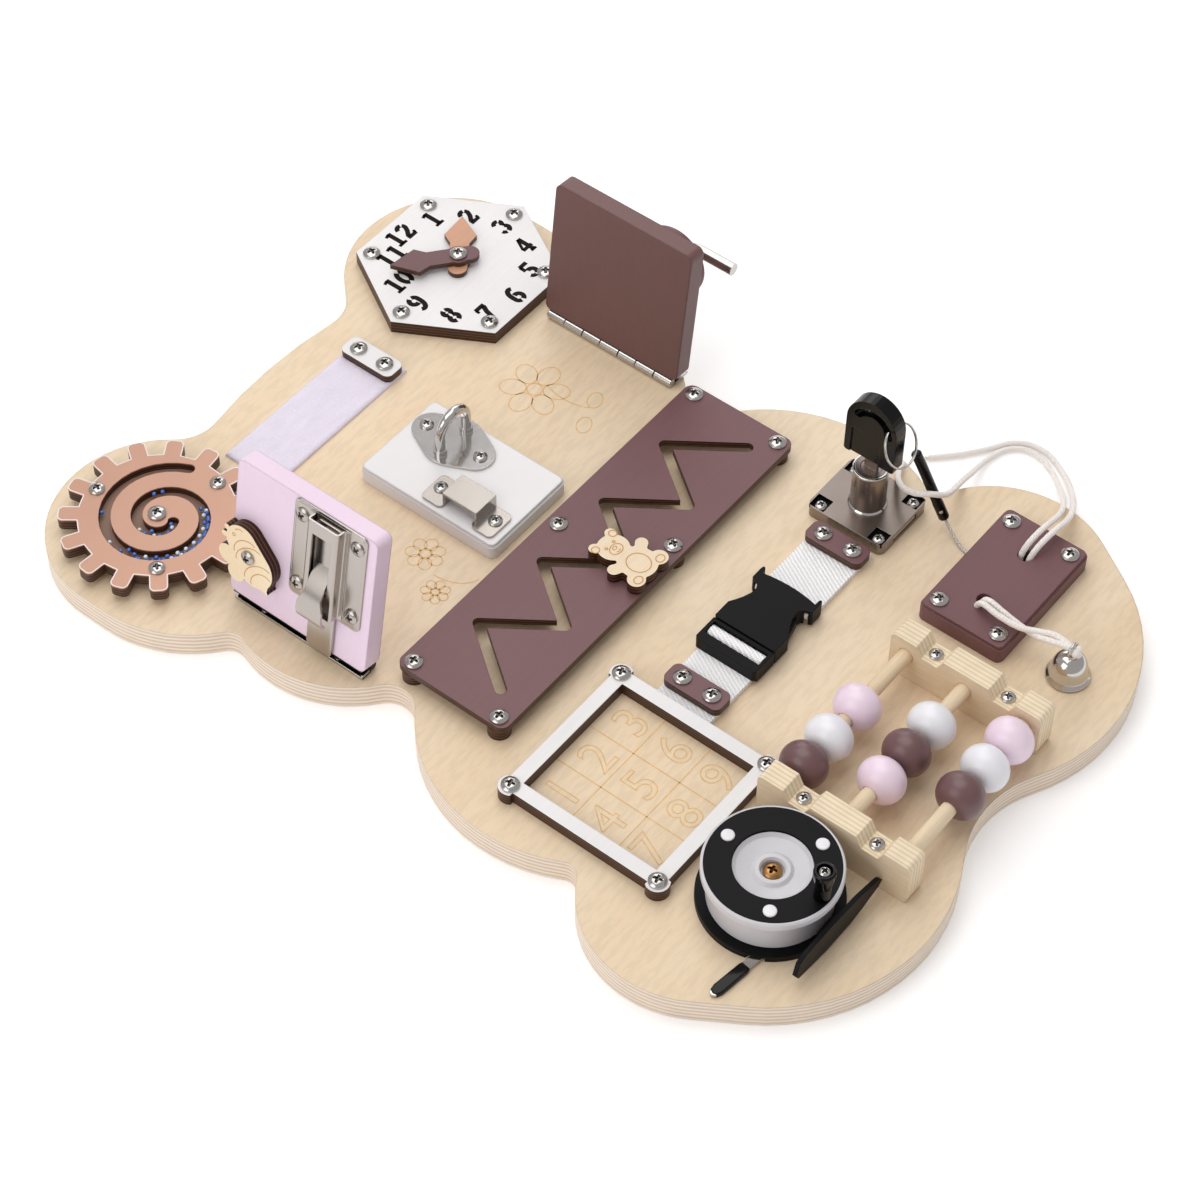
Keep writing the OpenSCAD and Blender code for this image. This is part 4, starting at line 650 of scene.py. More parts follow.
def fillet_path(points, radius):
    """A bent line with its corners rounded."""
    points = [Vector(p) for p in points]
    out = [points[0]]
    for before, at, after in zip(points, points[1:], points[2:]):
        u, v = (before - at).normalized(), (after - at).normalized()
        half = acos(max(-1, min(1, u.dot(v)))) / 2
        if abs(half - pi / 2) < 0.02:
            out.append(at)
            continue
        back = min(radius / tan(half), (before - at).length * 0.49, (after - at).length * 0.49)
        r = back * tan(half)
        middle = at + (u + v).normalized() * (r / sin(half))
        a, b = at + u * back - middle, at + v * back - middle
        turn = a.angle_signed(b)
        for k in range(FILLET_STEPS + 1):
            t = -turn * k / FILLET_STEPS
            out.append(middle + Vector((a.x * cos(t) - a.y * sin(t), a.x * sin(t) + a.y * cos(t))))
    out.append(points[-1])
    return out


def strip(bm, path, thick, widths, m, bevel=0.0):
    """A bent sheet: a line in local x and z, thick sideways, and as wide along y as widths says."""
    n = len(path)
    wide = widths if isinstance(widths, list) else [widths] * n
    made = bmesh.new()
    rows = []
    for i, p in enumerate(path):
        a, b = beside(path, i)
        t = (b - a).normalized()
        side = Vector((-t.y, t.x))
        bend = 1.0
        if 0 < i < n - 1:
            bend = 1 / max(0.5, sqrt((1 + (p - a).normalized().dot((b - p).normalized())) / 2))
        out, inn = p + side * thick / 2 * bend, p - side * thick / 2 * bend
        w = wide[i] / 2
        rows.append([made.verts.new((q.x, y, q.y)) for q, y in ((out, -w), (out, w), (inn, w), (inn, -w))])
    wrapped(made, rows)
    made.faces.new(rows[0])
    made.faces.new(rows[-1][::-1])
    if bevel:
        ease(made, [e for e in made.edges if e.calc_face_angle(0) > 0.6], bevel)
    add_to(bm, made, m)


def smooth_path(points, steps):
    """A curve through its points, as in the part's source."""
    out = []
    pts = [Vector(p) for p in points]
    for i in range(len(pts) - 1):
        a, b, c, d = pts[max(i - 1, 0)], pts[i], pts[i + 1], pts[min(i + 2, len(pts) - 1)]
        for k in range(steps):
            t = k / steps
            out.append(0.5 * ((2 * b) + (c - a) * t + (2 * a - 5 * b + 4 * c - d) * t * t
                              + (3 * b - a - 3 * c + d) * t ** 3))
    out.append(pts[-1])
    return out


def sweep(bm, path, radius, m, sides, closed=False):
    """A round tube along a path; radius is one value or one for each point."""
    radii = radius if isinstance(radius, list) else [radius] * len(path)
    made = bmesh.new()
    rings = []
    side = None
    for i, p in enumerate(path):
        a, b = beside(path, i, closed)
        t = (b - a).normalized()
        if side is None:
            side = t.orthogonal()
        side = (side - t * side.dot(t)).normalized()
        other = t.cross(side)
        rings.append([made.verts.new(p + (side * c + other * s) * radii[i]) for c, s in circle(sides)])
    wrapped(made, rings, closed)
    if not closed:
        made.faces.new(rings[0][::-1])
        made.faces.new(rings[-1])
    add_to(bm, made, m)


# Pan heads with a cross recess
HEAD_RINGS = [0.05, 0.1, 0.15, 0.2, 0.26, 0.32, 0.38, 0.44, 0.5, 0.56, 0.62, 0.7, 0.78, 0.86, 0.93,
              0.98, 1.0]
HEAD_COUNT = 72
HEAD_D, HEAD_H = 9.4, 2.6
CROSS_ARM, CROSS_REACH, CROSS_DEEP = 0.088, 0.52, 0.72
DIAL_HEADS_R, GEAR_HEADS_R = 48, 36


def cross_depth(x, y):
    """How deep the recess is at a point, from nought to one."""
    near = min(abs(x), abs(y))
    reach = max(abs(x), abs(y))
    arm = max(0.0, min(1.0, (CROSS_ARM + 0.02 + 0.06 * (1 - reach) - near) / 0.035))
    end = max(0.0, min(1.0, (CROSS_REACH - reach) / 0.06))
    return arm * end * (1.0 - 0.45 * reach / CROSS_REACH)


def pan_head(bm, m, d, h, turn, slot=0, recess=1):
    """One pan head on its seat, turned in its own plane."""
    made = bmesh.new()
    rings = [[made.verts.new((0, 0, h * (1 - CROSS_DEEP)))]]
    for r in HEAD_RINGS:
        row = []
        for c, s in circle(HEAD_COUNT):
            x, y = r * c, r * s
            z = 1.0 - 0.62 * r ** 2.4 - CROSS_DEEP * cross_depth(x, y)
            row.append(made.verts.new((x * d / 2, y * d / 2, z * h)))
        rings.append(row)
    rings.append([made.verts.new((v.co.x, v.co.y, 0.0)) for v in rings[-1]])
    turned(made, rings)
    # Faces deep in the cross recess take the darker recess look, a painted shade.
    for face in made.faces:
        c = face.calc_center_median() / (d / 2)
        face.material_index = recess if cross_depth(c.x, c.y) > 0.3 else slot
    add_to(bm, made, m @ Matrix.Rotation(turn, 4, "Z"), None)


def heads(name, spots, body="backboard", replaced=None, looks=(steel, recess_shade_steel), d=HEAD_D, h=HEAD_H):
    """Many heads as one piece; a spot is x, y, z and its size as a share."""
    rng = random.Random(name)
    bm = bmesh.new()
    for x, y, z, size in spots:
        pan_head(bm, local((x, y, z)), d * size, h * size, rng.uniform(0, pi / 2))
    finish_piece(name, bm, list(looks), replaced, 50.0, body)


def board_heads():
    """The heads on the board: single ones, then pairs along y and squares of four."""
    spots = [(*GEAR, 26.8, 1.0), (*CLOCK, 29.9, 1.0)]
    spots += [(*polar(CLOCK, DIAL_HEADS_R, 60 * k), DIAL_TOP, 1.0) for k in range(6)]
    for dx, dy in [(-113.9, 27), (-0.4, 27), (113.6, 27), (-113.9, -27), (24.6, -27), (113.6, -27)]:
        spots.append((TRACK[0] + dx, TRACK[1] + dy, 26.0, 1.0))
    pairs = [(36.3, TAPE_Y, 9, 21.8, 1.0), (-32.8, STRAP_Y, 9, 22.8, 1.0), (85.2, STRAP_Y, 9, 22.8, 1.0),
             (*CATCH, 18, 26.4, 0.8), (*EYE, 18, 26.4, 0.8)]
    squares = [(*GRID, 43, 44.2, 22.5, 1.0), (*LACING, 32.6, 17.6, 26.0, 1.0),
               (*CASE, 15.4, 18, CASE_TOP, 0.75), (*COUNTER, 55, 21, 36.1, 0.8)]
    for i in PAIR:
        spots += [(x, y + dy * i, z, size) for x, y, dy, z, size in pairs]
        for j in PAIR:
            spots += [(x + dx * i, y + dy * j, z, size) for x, y, dx, dy, z, size in squares]
    heads("board_screws", spots, replaced="screws")
    heads("reel_screw", [(*REEL, 36.3, 1.0)], looks=(brass, recess_shade_brass))


board_heads()
heads("gear_cover_screws", [(*polar(GEAR, GEAR_HEADS_R, a), GEAR_TOP, 0.9) for a in (101, 344, 223)], "gear",
      "gear_screws")


# Thin marks: cut numbers and engraved lines
MARK_LIFT = 0.06
GROOVE = 0.55


def arc(x, y, rx, ry, start, end, steps=14):
    """Points along part of an ellipse, from one angle to another in degrees."""
    angles = [radians(start + (end - start) * k / steps) for k in range(steps + 1)]
    return [(x + rx * cos(a), y + ry * sin(a)) for a in angles]


def ring(x, y, r, steps, end=345, width=GROOVE):
    """A closed groove round a point, as marks takes it."""
    return arc(x, y, r, r, 0, end, steps), width, True


def stroke(bm, points, width, m, z, closed=False):
    """A flat ribbon along a line in a frame's own x and y."""
    pts = [Vector(p) for p in points]
    rows = []
    for i, p in enumerate(pts):
        a, b = beside(pts, i, closed)
        back = (p - a) if (p - a).length > 1e-6 else (b - p)
        ahead = (b - p) if (b - p).length > 1e-6 else (p - a)
        t = (back.normalized() + ahead.normalized()).normalized()
        side = Vector((-t.y, t.x)) * width / 2 / max(0.6, t.dot(ahead.normalized()))
        rows.append([bm.verts.new(m @ Vector((q.x, q.y, z))) for q in (p + side, p - side)])
    for a, b in list(zip(rows, rows[1:])) + ([(rows[-1], rows[0])] if closed else []):
        bm.faces.new((a[0], a[1], b[1], b[0]))


def marks(name, strokes, look, z, body="backboard", m=FLAT):
    """Engraved lines as one piece; a stroke is its points, width and whether it closes."""
    bm = bmesh.new()
    for points, width, closed in strokes:
        stroke(bm, points, width, m, z + MARK_LIFT, closed)
    finish_piece(name, bm, look, body=body)


def chains(edges):
    """The lines that edges make, each as the vertex numbers along it."""
    near = {}
    for a, b in edges:
        near.setdefault(a, []).append(b)
        near.setdefault(b, []).append(a)
    seen, out = set(), []
    for start in sorted(near):
        if start in seen:
            continue
        line, at = [], start
        while at is not None:
            seen.add(at)
            line.append(at)
            at = next((k for k in near[at] if k not in seen), None)
        out.append(line)
    return out


# Stencil numbers on a cell one unit tall: each stroke is a width and its points
STENCIL = {
    "0": [(0.2, arc(0.31, 0.5, 0.22, 0.4, a, a + 156)) for a in (102, -78)],
    "1": [(0.2, [(0.32, 0.05), (0.32, 0.97)]), (0.13, [(0.08, 0.06), (0.56, 0.06)]),
          (0.13, [(0.08, 0.84), (0.32, 0.92)])],
    "2": [(0.19, arc(0.29, 0.7, 0.2, 0.2, 175, 60, 8)),
          (0.19, arc(0.29, 0.7, 0.2, 0.2, 40, -20, 6) + [(0.38, 0.44), (0.14, 0.16)]),
          (0.17, [(0.06, 0.09), (0.58, 0.09)]), (0.12, [(0.54, 0.09), (0.56, 0.27)])],
    "3": [(0.18, arc(0.28, 0.71, 0.19, 0.18, 170, 50, 8)),
          (0.2, arc(0.28, 0.71, 0.19, 0.18, 30, -70, 8)),
          (0.2, arc(0.28, 0.29, 0.22, 0.2, 60, -80, 10)),
          (0.18, arc(0.28, 0.29, 0.22, 0.2, -105, -170, 8))],
    "4": [(0.12, [(0.4, 0.96), (0.06, 0.34)]), (0.16, [(0.03, 0.32), (0.62, 0.32)]),
          (0.2, [(0.44, 0.97), (0.44, 0.4)]), (0.2, [(0.44, 0.24), (0.44, 0.05)]),
          (0.12, [(0.28, 0.05), (0.6, 0.05)])],
    "5": [(0.18, [(0.1, 0.9), (0.56, 0.9)]), (0.16, [(0.13, 0.9), (0.13, 0.56)]),
          (0.2, arc(0.29, 0.32, 0.22, 0.22, 110, -60, 12)),
          (0.18, arc(0.29, 0.32, 0.22, 0.22, -85, -160, 8))],
    "6": [(0.2, arc(0.33, 0.5, 0.25, 0.42, 60, 180, 10) + arc(0.31, 0.3, 0.23, 0.22, 180, 255, 8)),
          (0.2, arc(0.31, 0.3, 0.21, 0.22, -75, 110, 12))],
    "7": [(0.18, [(0.05, 0.89), (0.6, 0.89)]), (0.12, [(0.08, 0.89), (0.08, 0.68)]),
          (0.2, [(0.52, 0.84), (0.36, 0.5), (0.26, 0.04)])],
    "8": [(0.2, arc(0.31, y, rx, ry, a, a + 150)) for y, rx, ry in ((0.72, 0.18, 0.17), (0.28, 0.21, 0.19))
          for a in (105, -75)]}
STENCIL["9"] = [(w, [(0.62 - x, 1 - y) for x, y in pts]) for w, pts in STENCIL["6"]]
DIGIT_TALL, DIGIT_STEP, DIGIT_BOLD = 12.4, 0.66, 1.16
CLOCK_NUMBERS = {"12": (115, 231), "1": (135.5, 225.5), "2": (149.5, 211.5), "3": (155, 192), "4": (151, 173),
                 "5": (138.5, 159), "6": (119, 153), "7": (99, 157), "8": (85.5, 170.5), "9": (81, 190),
                 "10": (87.5, 208.5), "11": (99.5, 224)}


def clock_numbers():
    strokes = []
    for word, (x, y) in CLOCK_NUMBERS.items():
        left = x - DIGIT_TALL * DIGIT_STEP * len(word) / 2
        for i, digit in enumerate(word):
            for width, points in STENCIL[digit]:
                moved = [(left + (px + i * DIGIT_STEP) * DIGIT_TALL, y + (py - 0.5) * DIGIT_TALL)
                         for px, py in points]
                strokes.append((moved, width * DIGIT_BOLD * DIGIT_TALL, False))
    # The numbers are a flat dark sheet on the dial: scorched wood and painted shade where the holes go
    # through.
    marks("clock_numbers", strokes, cut_scorch_and_shade, DIAL_TOP)


def text_loops(word):
    """The outlines of a word in Blender's own typeface, as closed lines about its middle."""
    data = bpy.data.curves.new("type", "FONT")
    data.body = word
    data.fill_mode = "NONE"
    data.resolution_u = 6
    made = linked("type", data)
    mesh = bpy.data.meshes.new_from_object(made.evaluated_get(bpy.context.evaluated_depsgraph_get()))
    places = [Vector((v.co.x, v.co.y)) for v in mesh.vertices]
    low = Vector((min(p.x for p in places), min(p.y for p in places)))
    high = Vector((max(p.x for p in places), max(p.y for p in places)))
    loops = [[(places[at] - (low + high) / 2) / (high.y - low.y) for at in line]
             for line in chains(edge.vertices for edge in mesh.edges)]
    bpy.data.objects.remove(made)
    bpy.data.curves.remove(data)
    bpy.data.meshes.remove(mesh)
    return loops


NUMBER_TALL = 18.5
NUMBER_X, NUMBER_Y = (-118.8, -92.2, -65.5), (-68.9, -95.5, -122.2)


def number_grid():
    """Two lines each way and the nine numbers between them."""
    half_x, half_y = 38.4, 40.4
    strokes = [([(x, GRID[1] - half_y), (x, GRID[1] + half_y)], GROOVE, False) for x in (-105.1, -79.5)]
    strokes += [([(GRID[0] - half_x, y), (GRID[0] + half_x, y)], GROOVE, False) for y in (-81.5, -109.3)]
    for i in range(9):
        x, y = NUMBER_X[i % 3], NUMBER_Y[i // 3]
        for loop in text_loops(str(i + 1)):
            strokes.append(([(x + p.x * NUMBER_TALL, y + p.y * NUMBER_TALL) for p in loop], GROOVE, True))
    marks("number_grid", strokes, engraved, TOP)


def petals(x, y, count, reach, wide, turn=0.0):
    """A ring of leaf outlines round a point."""
    out = []
    for k in range(count):
        a = radians(turn + 360 * k / count)
        leaf = []
        for c, s in circle(24):
            u, v = reach * (0.62 - 0.38 * c), wide * s
            leaf.append((x + u * cos(a) - v * sin(a), y + u * sin(a) + v * cos(a)))
        out.append((leaf, GROOVE, True))
    return out


FLOWER = (77.0, 106.0)
DAISIES = ((-46.0, 78.0, 1.0), (-62.0, 58.0, 0.74))
STEM = (-40.0, 66.0, 14.0, 20.0)


def board_motifs():
    """Plain line ornaments: a flower with leaves, and two daisies on a curved stem."""
    fx, fy = FLOWER
    strokes = petals(fx, fy, 6, 19.0, 5.6) + [ring(fx, fy, 4.2, 22)]
    strokes.append((arc(fx + 24, fy - 16, 20, 26, 150, 215, 16), GROOVE, False))
    strokes += petals(fx + 5, fy - 33, 2, 15.0, 4.0, 20.0)
    for x, y, size in DAISIES:
        strokes += petals(x, y, 7, 10.5 * size, 3.4 * size, 12.0)
        strokes.append(ring(x, y, 3.4 * size, 18, 340))
    strokes.append((arc(*STEM, 180, 262, 16), GROOVE, False))
    marks("board_motifs", strokes, engraved, TOP)


clock_numbers()
number_grid()
board_motifs()


# Bee and teddy lines, the maker's own
BEE = (37.0, 28.4)
TEDDY, TEDDY_TALL = (5.2, -12.0), 39.6


def left_frame(u, y, off, x=LEFT_UP):
    """A frame on the left door, at a place up it, along the board and out of its face."""
    return local(LEFT_ORIGIN + LEFT_UP * u + Vector((0, y, 0)) + LEFT_OUT * off, x, LEFT_OUT)


def bee_marks():
    strokes = [(arc(x - 6, 0, 6, half, -78, 78, 12), 0.5, False)
               for x, half in ((-9.5, 7.6), (-5.0, 9.8), (5.2, 9.6), (9.4, 8.2))]
    strokes += [ring(13.2, 2.6, 0.9, 10, 330, 0.45), (arc(12.6, -1.2, 3.0, 3.6, -70, 20, 8), 0.45, False)]
    turned_bee = left_frame(*BEE, 6.7) @ Matrix.Rotation(radians(38), 4, "Z")
    marks("bee_lines", strokes, scorched, 0.0, "bee", turned_bee)


def teddy_marks():
    """Muzzle, nose, mouth and belly, then eyes, ears and feet."""
    x, y = TEDDY
    h = TEDDY_TALL
    strokes = [(arc(x, y + h * 0.19, 3.9, 3.1, 0, 345, 22), 0.5, True),
               (arc(x, y + h * 0.215, 1.3, 0.9, 0, 330, 12), 0.5, True),
               (arc(x, y + h * 0.165, 1.6, 0.9, 200, 340, 8), 0.45, False),
               (arc(x, y - h * 0.17, 6.0, 6.6, 0, 348, 26), 0.5, True)]
    for side in PAIR:
        strokes += [ring(x + side * 3.0, y + h * 0.29, 0.7, 10, 330),
                    ring(x + side * 7.0, y + h * 0.385, 2.1, 14, 340, 0.5),
                    (arc(x + side * 9.0, y - h * 0.34, 2.6, 2.2, 0, 340, 14), 0.5, True)]
    marks("teddy_lines", strokes, scorched, 32.5, "slider_bear")


# Latch on the left door: a plate with four heads, a bent guide in four pieces, and the bee's post
LATCH_Y = -16.0
PLATE_START, PLATE_LONG, PLATE_WIDE = 26.4, 61.0, 46.0
GUIDE_FOOT, GUIDE_HIGH, GUIDE_IN, GUIDE_SIDE, GUIDE_OUT = 1.75, 7.0, 6.0, 9.2, 12.2
SHEET_T = 1.1
LATCH_HEAD_U, LATCH_HEAD_Y = 22, 17.4
TONGUE_START, TONGUE_LONG, TONGUE_WIDE = 1.4, 82.0, 16.0


def latch():
    bm = bmesh.new()
    middle = PLATE_START + PLATE_LONG / 2
    m = left_frame(middle, LATCH_Y, 0.0)
    prism(bm, round_box(PLATE_LONG - 0.4, PLATE_WIDE - 0.4, 3.4), 0.05, 1.15, m, 0.5, 3)
    prism(bm, round_box(PLATE_LONG - 3.4, PLATE_WIDE - 3.4, 2.4), 1.1, 1.32, m, 0.2)
    across = [(-GUIDE_OUT, GUIDE_FOOT), (-GUIDE_SIDE, GUIDE_FOOT), (-GUIDE_SIDE, GUIDE_HIGH),
              (GUIDE_SIDE, GUIDE_HIGH), (GUIDE_SIDE, GUIDE_FOOT), (GUIDE_OUT, GUIDE_FOOT)]
    for low, high, path in ((29.4, 44.0, across), (78.0, 85.4, across),
                            (44.0, 78.0, across[:3] + [(-GUIDE_IN, GUIDE_HIGH)]),
                            (44.0, 78.0, [(GUIDE_IN, GUIDE_HIGH)] + across[3:])):
        at = left_frame((low + high) / 2, LATCH_Y, 0.0, (0, 1, 0))
        strip(bm, fillet_path(path, 1.2), SHEET_T, high - low, at)
    for i, j in CORNERS:
        at = left_frame(middle + LATCH_HEAD_U * i, LATCH_Y + LATCH_HEAD_Y * j, 1.3)
        pan_head(bm, at, 8.0, 2.0, 0.4 + i + j * 0.7)
    lathe(bm, [(0, 0), (2.3, 0), (2.3, 6.9), (0, 6.9)], left_frame(*BEE, 0.0), 24)
    pan_head(bm, left_frame(*BEE, 6.95), 7.8, 2.3, 0.3)
    finish_piece("latch_plate", bm, [brushed, recess_shade_steel], "left_fittings", 32.0, "left_door")


def tongue():
    """The sliding tongue and its thumb tab, which curls up and widens to its tip."""
    bm = bmesh.new()
    m = left_frame(TONGUE_START + TONGUE_LONG / 2, LATCH_Y, 0.3)
    prism(bm, round_box(TONGUE_LONG, TONGUE_WIDE, 2.2), 0.0, 2.1, m, 0.5, 3, both=True)
    shares = [(0, .1), (.08, .3), (.18, .5), (.3, .68), (.43, .84), (.57, .95), (.73, 1), (.87, .97),
              (.96, .86), (1, .72)]
    path = smooth_path([(57 - 31 * s, 0.3 + 12 * h, 0) for s, h in shares], 4)
    widths = [10.8 + 5.0 * max(0.0, min(1.0, (i - 17) / 5.0)) for i in range(len(path))]
    strip(bm, [p.xy for p in path], 1.3, widths, left_frame(0, LATCH_Y, 0), 0.2)
    finish_piece("latch_slide", bm, brushed, "latch_tongue", 40.0, "latch_tongue")


bee_marks()
teddy_marks()
latch()
tongue()


# Webbing and tape
WEB_T, WEB_W, WEB_EASE = 1.5, 32.3, 0.25
BAR_Z, LOOP_R = 21.0, 3.5
THREADS, THREAD_R = 46, 0.22
WEB_AT = local((0, STRAP_Y, 0))


def web_path(flat, bar):
    """Two layers that lie flat, then pass round a bar: local x and z."""
    s = 1 if flat < bar else -1
    low, high = TOP + WEB_T / 2 + 0.05, TOP + 1.5 * WEB_T + 0.12
    loop = [(bar + s * LOOP_R * cos(a), BAR_Z + LOOP_R * sin(a))
            for a in (radians(d) for d in range(-70, 196, 12))]
    start = [(flat, low), (flat + s * 3, low), (bar - s * 5.2, low + 0.15), (bar - s * 1.6, low + 1.0)]
    end = [(bar - s * 4.4, high + 1.6), (bar - s * 6.4, high + 0.3), (flat + s * 2, high), (flat, high)]
    return [Vector(p) for p in start + loop + end]


def webbing_piece(name, flat, bar, replaced, body):
    path = web_path(flat, bar)
    bm = bmesh.new()
    strip(bm, path, WEB_T, WEB_W, WEB_AT, WEB_EASE)
    made = finish_piece(name, bm, webbing, replaced, 60.0, body)
    path_length(path) * MM
    return made


def webbing_ends():
    """The two short layers under the right clamp, and loose threads at the left end."""
    bm = bmesh.new()
    for z in (TOP + 0.8, TOP + 2.4):
        strip(bm, [Vector((x, z)) for x in (78.6, 86.0, 93.2)], WEB_T, WEB_W, WEB_AT, WEB_EASE)
    rng = random.Random("frayed")
    for k in range(THREADS):
        y = STRAP_Y - WEB_W / 2 + WEB_W * (k + 0.5) / THREADS
        z = TOP + 0.6 + 2.0 * rng.random()
        end = (-45.4 - 1.6 * rng.random(), y + rng.uniform(-0.6, 0.6), z + rng.uniform(-0.3, 0.3))
        sweep(bm, [Vector((-44.0, y, z)), Vector(end)], THREAD_R, FLAT, 5)
    finish_piece("webbing_ends", bm, webbing)


def webbings():
    webbing_piece("left_webbing", -45.0, -0.4, "strap_webbing", "backboard")
    webbing_ends()
    free = webbing_piece("right_webbing", 78.5, 40.9, "free_webbing", None)
    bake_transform(free)


TAPE_LONG, TAPE_WIDE = 104.0, 34.8
TAPE_CELLS_X, TAPE_CELLS_Y = 80, 28
CLAMP_X, CLAMP_HALF = 44.3, 7.2


def tape():
    """A thick soft tape with rounded edges, pressed flat under its clamp."""
    made = bmesh.new()
    nx, ny = TAPE_CELLS_X, TAPE_CELLS_Y
    half_x, half_y = TAPE_LONG / 2, TAPE_WIDE / 2
    rng = random.Random("tape")
    rows = []
    for i in range(nx + 1):
        row = []
        for j in range(ny + 1):
            x, y = -half_x + TAPE_LONG * i / nx, -half_y + TAPE_WIDE * j / ny
            edge = min(1.0, min(half_y - abs(y), half_x - abs(x)) / 0.9)
            z = TOP + 1.2 + 0.85 * sqrt(max(0.0, edge)) + rng.uniform(-0.05, 0.05) * edge
            if abs(x - CLAMP_X) < CLAMP_HALF:
                z = min(z, TOP + 2.0)
            row.append(made.verts.new((x, y, z)))
        rows.append(row)
    for a, b in zip(rows, rows[1:]):
        for j in range(ny):
            made.faces.new((a[j], b[j], b[j + 1], a[j + 1]))
    rim = [e for e in made.edges if e.is_boundary]
    for v in bmesh.ops.extrude_edge_only(made, edges=rim)["geom"]:
        if isinstance(v, bmesh.types.BMVert):
            v.co.z = TOP + 0.02
    bm = bmesh.new()
    add_to(bm, made, local((-8.0, TAPE_Y, 0.0)))
    piece = finish_piece("fastening_tape", bm, tape_pile, "loop_tape", 60.0)


# Routes of the cords, as in the part's source
ROUTE_A = [(134.9, -167, 18), (135.3, -167.2, 24.5), (138.6, -168.5, 30.8), (145.6, -169.8, 34),
           (154.5, -170.3, 33.4), (165, -169.4, 28.8), (178, -165.6, 21.4), (191, -159, 13.6),
           (204, -149.5, 6), (213.4, -139.5, 1.9), (219.2, -127, 1.8), (218.8, -115, 1.8),
           (212.5, -106, 1.8), (202, -99.5, 1.8), (190, -90.5, 1.8), (178, -79, 1.8)]
ROUTE_B = [(134.9, -162.2, 18), (135.3, -162.3, 24.5), (138.6, -163.4, 30.8), (145.6, -164.6, 34),
           (154.5, -165.2, 33.4), (165, -164.2, 28.6), (177, -160.5, 21), (190, -153.5, 12.5),
           (202, -144, 5), (210, -135, 1.8), (214.6, -125, 1.8), (214.2, -115, 1.8), (208, -107.4, 1.8),
           (198, -104.2, 2), (188, -103.8, 4), (177, -105.6, 9.4), (164.6, -108.1, 17),
           (152.4, -111, 24.4), (141, -114, 32.5), (132, -115.2, 39.5), (125.6, -111.6, 43.4),
           (122.6, -104.6, 41.6), (125.4, -95.5, 36.6), (134, -87, 30), (145, -80.5, 22.2),
           (153, -77.6, 17.9)]
ROUTE_BELL = [(96, -164.6, 18), (96, -164.8, 26), (95.4, -168.6, 31), (94, -178, 30.6), (92.4, -190, 30),
              (91, -200, 31.5), (90.6, -206.6, 33.8), (91, -213, 35.4), (91.8, -219, 35.6)]
ROUTE_BACK = [(93, -163.4, 18), (92.8, -163.8, 26), (91.4, -168.0, 31.6), (89.4, -178, 32.4),
              (89.6, -190, 32.4), (92.8, -200, 33.4), (94.4, -206.6, 34.8), (93.8, -213, 35.6),
              (92.6, -219, 35.8)]
ROUTE_WIRE = [(132.6, -117.8, 22.6), (131.2, -121.6, 19.6), (128.6, -127.6, 17.4), (126.2, -133.4, 16.2),
              (125, -139.4, 16)]
ROUTE_SLEEVE = [(126, -99.5, 66.4), (127.4, -103, 58), (129.4, -107.6, 46), (131.2, -112.4, 34),
                (132.6, -117.2, 23)]
CORD_D = 3.2
FRAYED_THREADS = 18


def lace(name, route, node, frayed):
    """A round cotton lace along its route, with loose threads at a cut end."""
    path = smooth_path(route, 6)
    rng = random.Random(name)
    bm = bmesh.new()
    radii = [CORD_D / 2 * (1.0 + 0.03 * sin(i * 2.1)) for i in range(len(path))]
    sweep(bm, path, radii, FLAT, 14)
    if frayed:
        t = (path[-1] - path[-2]).normalized()
        across = t.orthogonal()
        for _ in range(FRAYED_THREADS):
            a = 2 * pi * rng.random()
            side = across.normalized() * cos(a) + t.cross(across).normalized() * sin(a)
            base = path[-1] + side * 1.1 * rng.random()
            sweep(bm, [base - t * 1.0, base + t * 0.8, base + t * 2.2 + side * 0.5], THREAD_R, FLAT, 5)
    made = finish_piece(name, bm, cord_cotton, node, 60.0)
    path_length(path) * MM


def wire():
    """Three strands of steel wire, twisted."""
    path = smooth_path(ROUTE_WIRE, 12)
    bm = bmesh.new()
    for strand in range(3):
        twisted = []
        for i, p in enumerate(path):
            before, after = beside(path, i)
            t = (after - before).normalized()
            side = t.cross(Vector(UP)).normalized()
            a = i * 0.75 + strand * 2 * pi / 3
            twisted.append(p + (side * cos(a) + t.cross(side) * sin(a)) * 0.42)
        sweep(bm, twisted, 0.46, FLAT, 8)
    return finish_piece("twisted_wire", bm, steel, "key_wire", 60.0)


def sleeve_radius(s):
    """The sleeve's radius at a share of its length: a rounded start and a crimped end."""
    if s < 0.05:
        return 2.75 * sqrt(max(0.15, 1 - (1 - s / 0.05) ** 2))
    if s > 0.985:
        return 2.6
    return 2.9 if s > 0.76 else 2.75


def tether():
    """The steel wire and the black sleeve that end at the key ring."""
    inner = wire()
    tube = smooth_path(ROUTE_SLEEVE, 10)
    n = len(tube)
    bm = bmesh.new()
    sweep(bm, tube, [sleeve_radius(i / (n - 1)) for i in range(n)], FLAT, 20)
    rivet = local(tube[int(n * 0.86)], UP, Vector((-0.75, -0.45, 0.5)).normalized())
    lathe(bm, [(0, 3.35), (0.7, 3.25), (1.05, 2.95), (1.1, 2.6)], rivet, 20, 1)
    sleeve = finish_piece("tether_sleeve", bm, [black_gloss, polished], "key_sleeve", 50.0)
    path_length(tube) * MM


RING_R, RING_STEPS = 11.6, 66


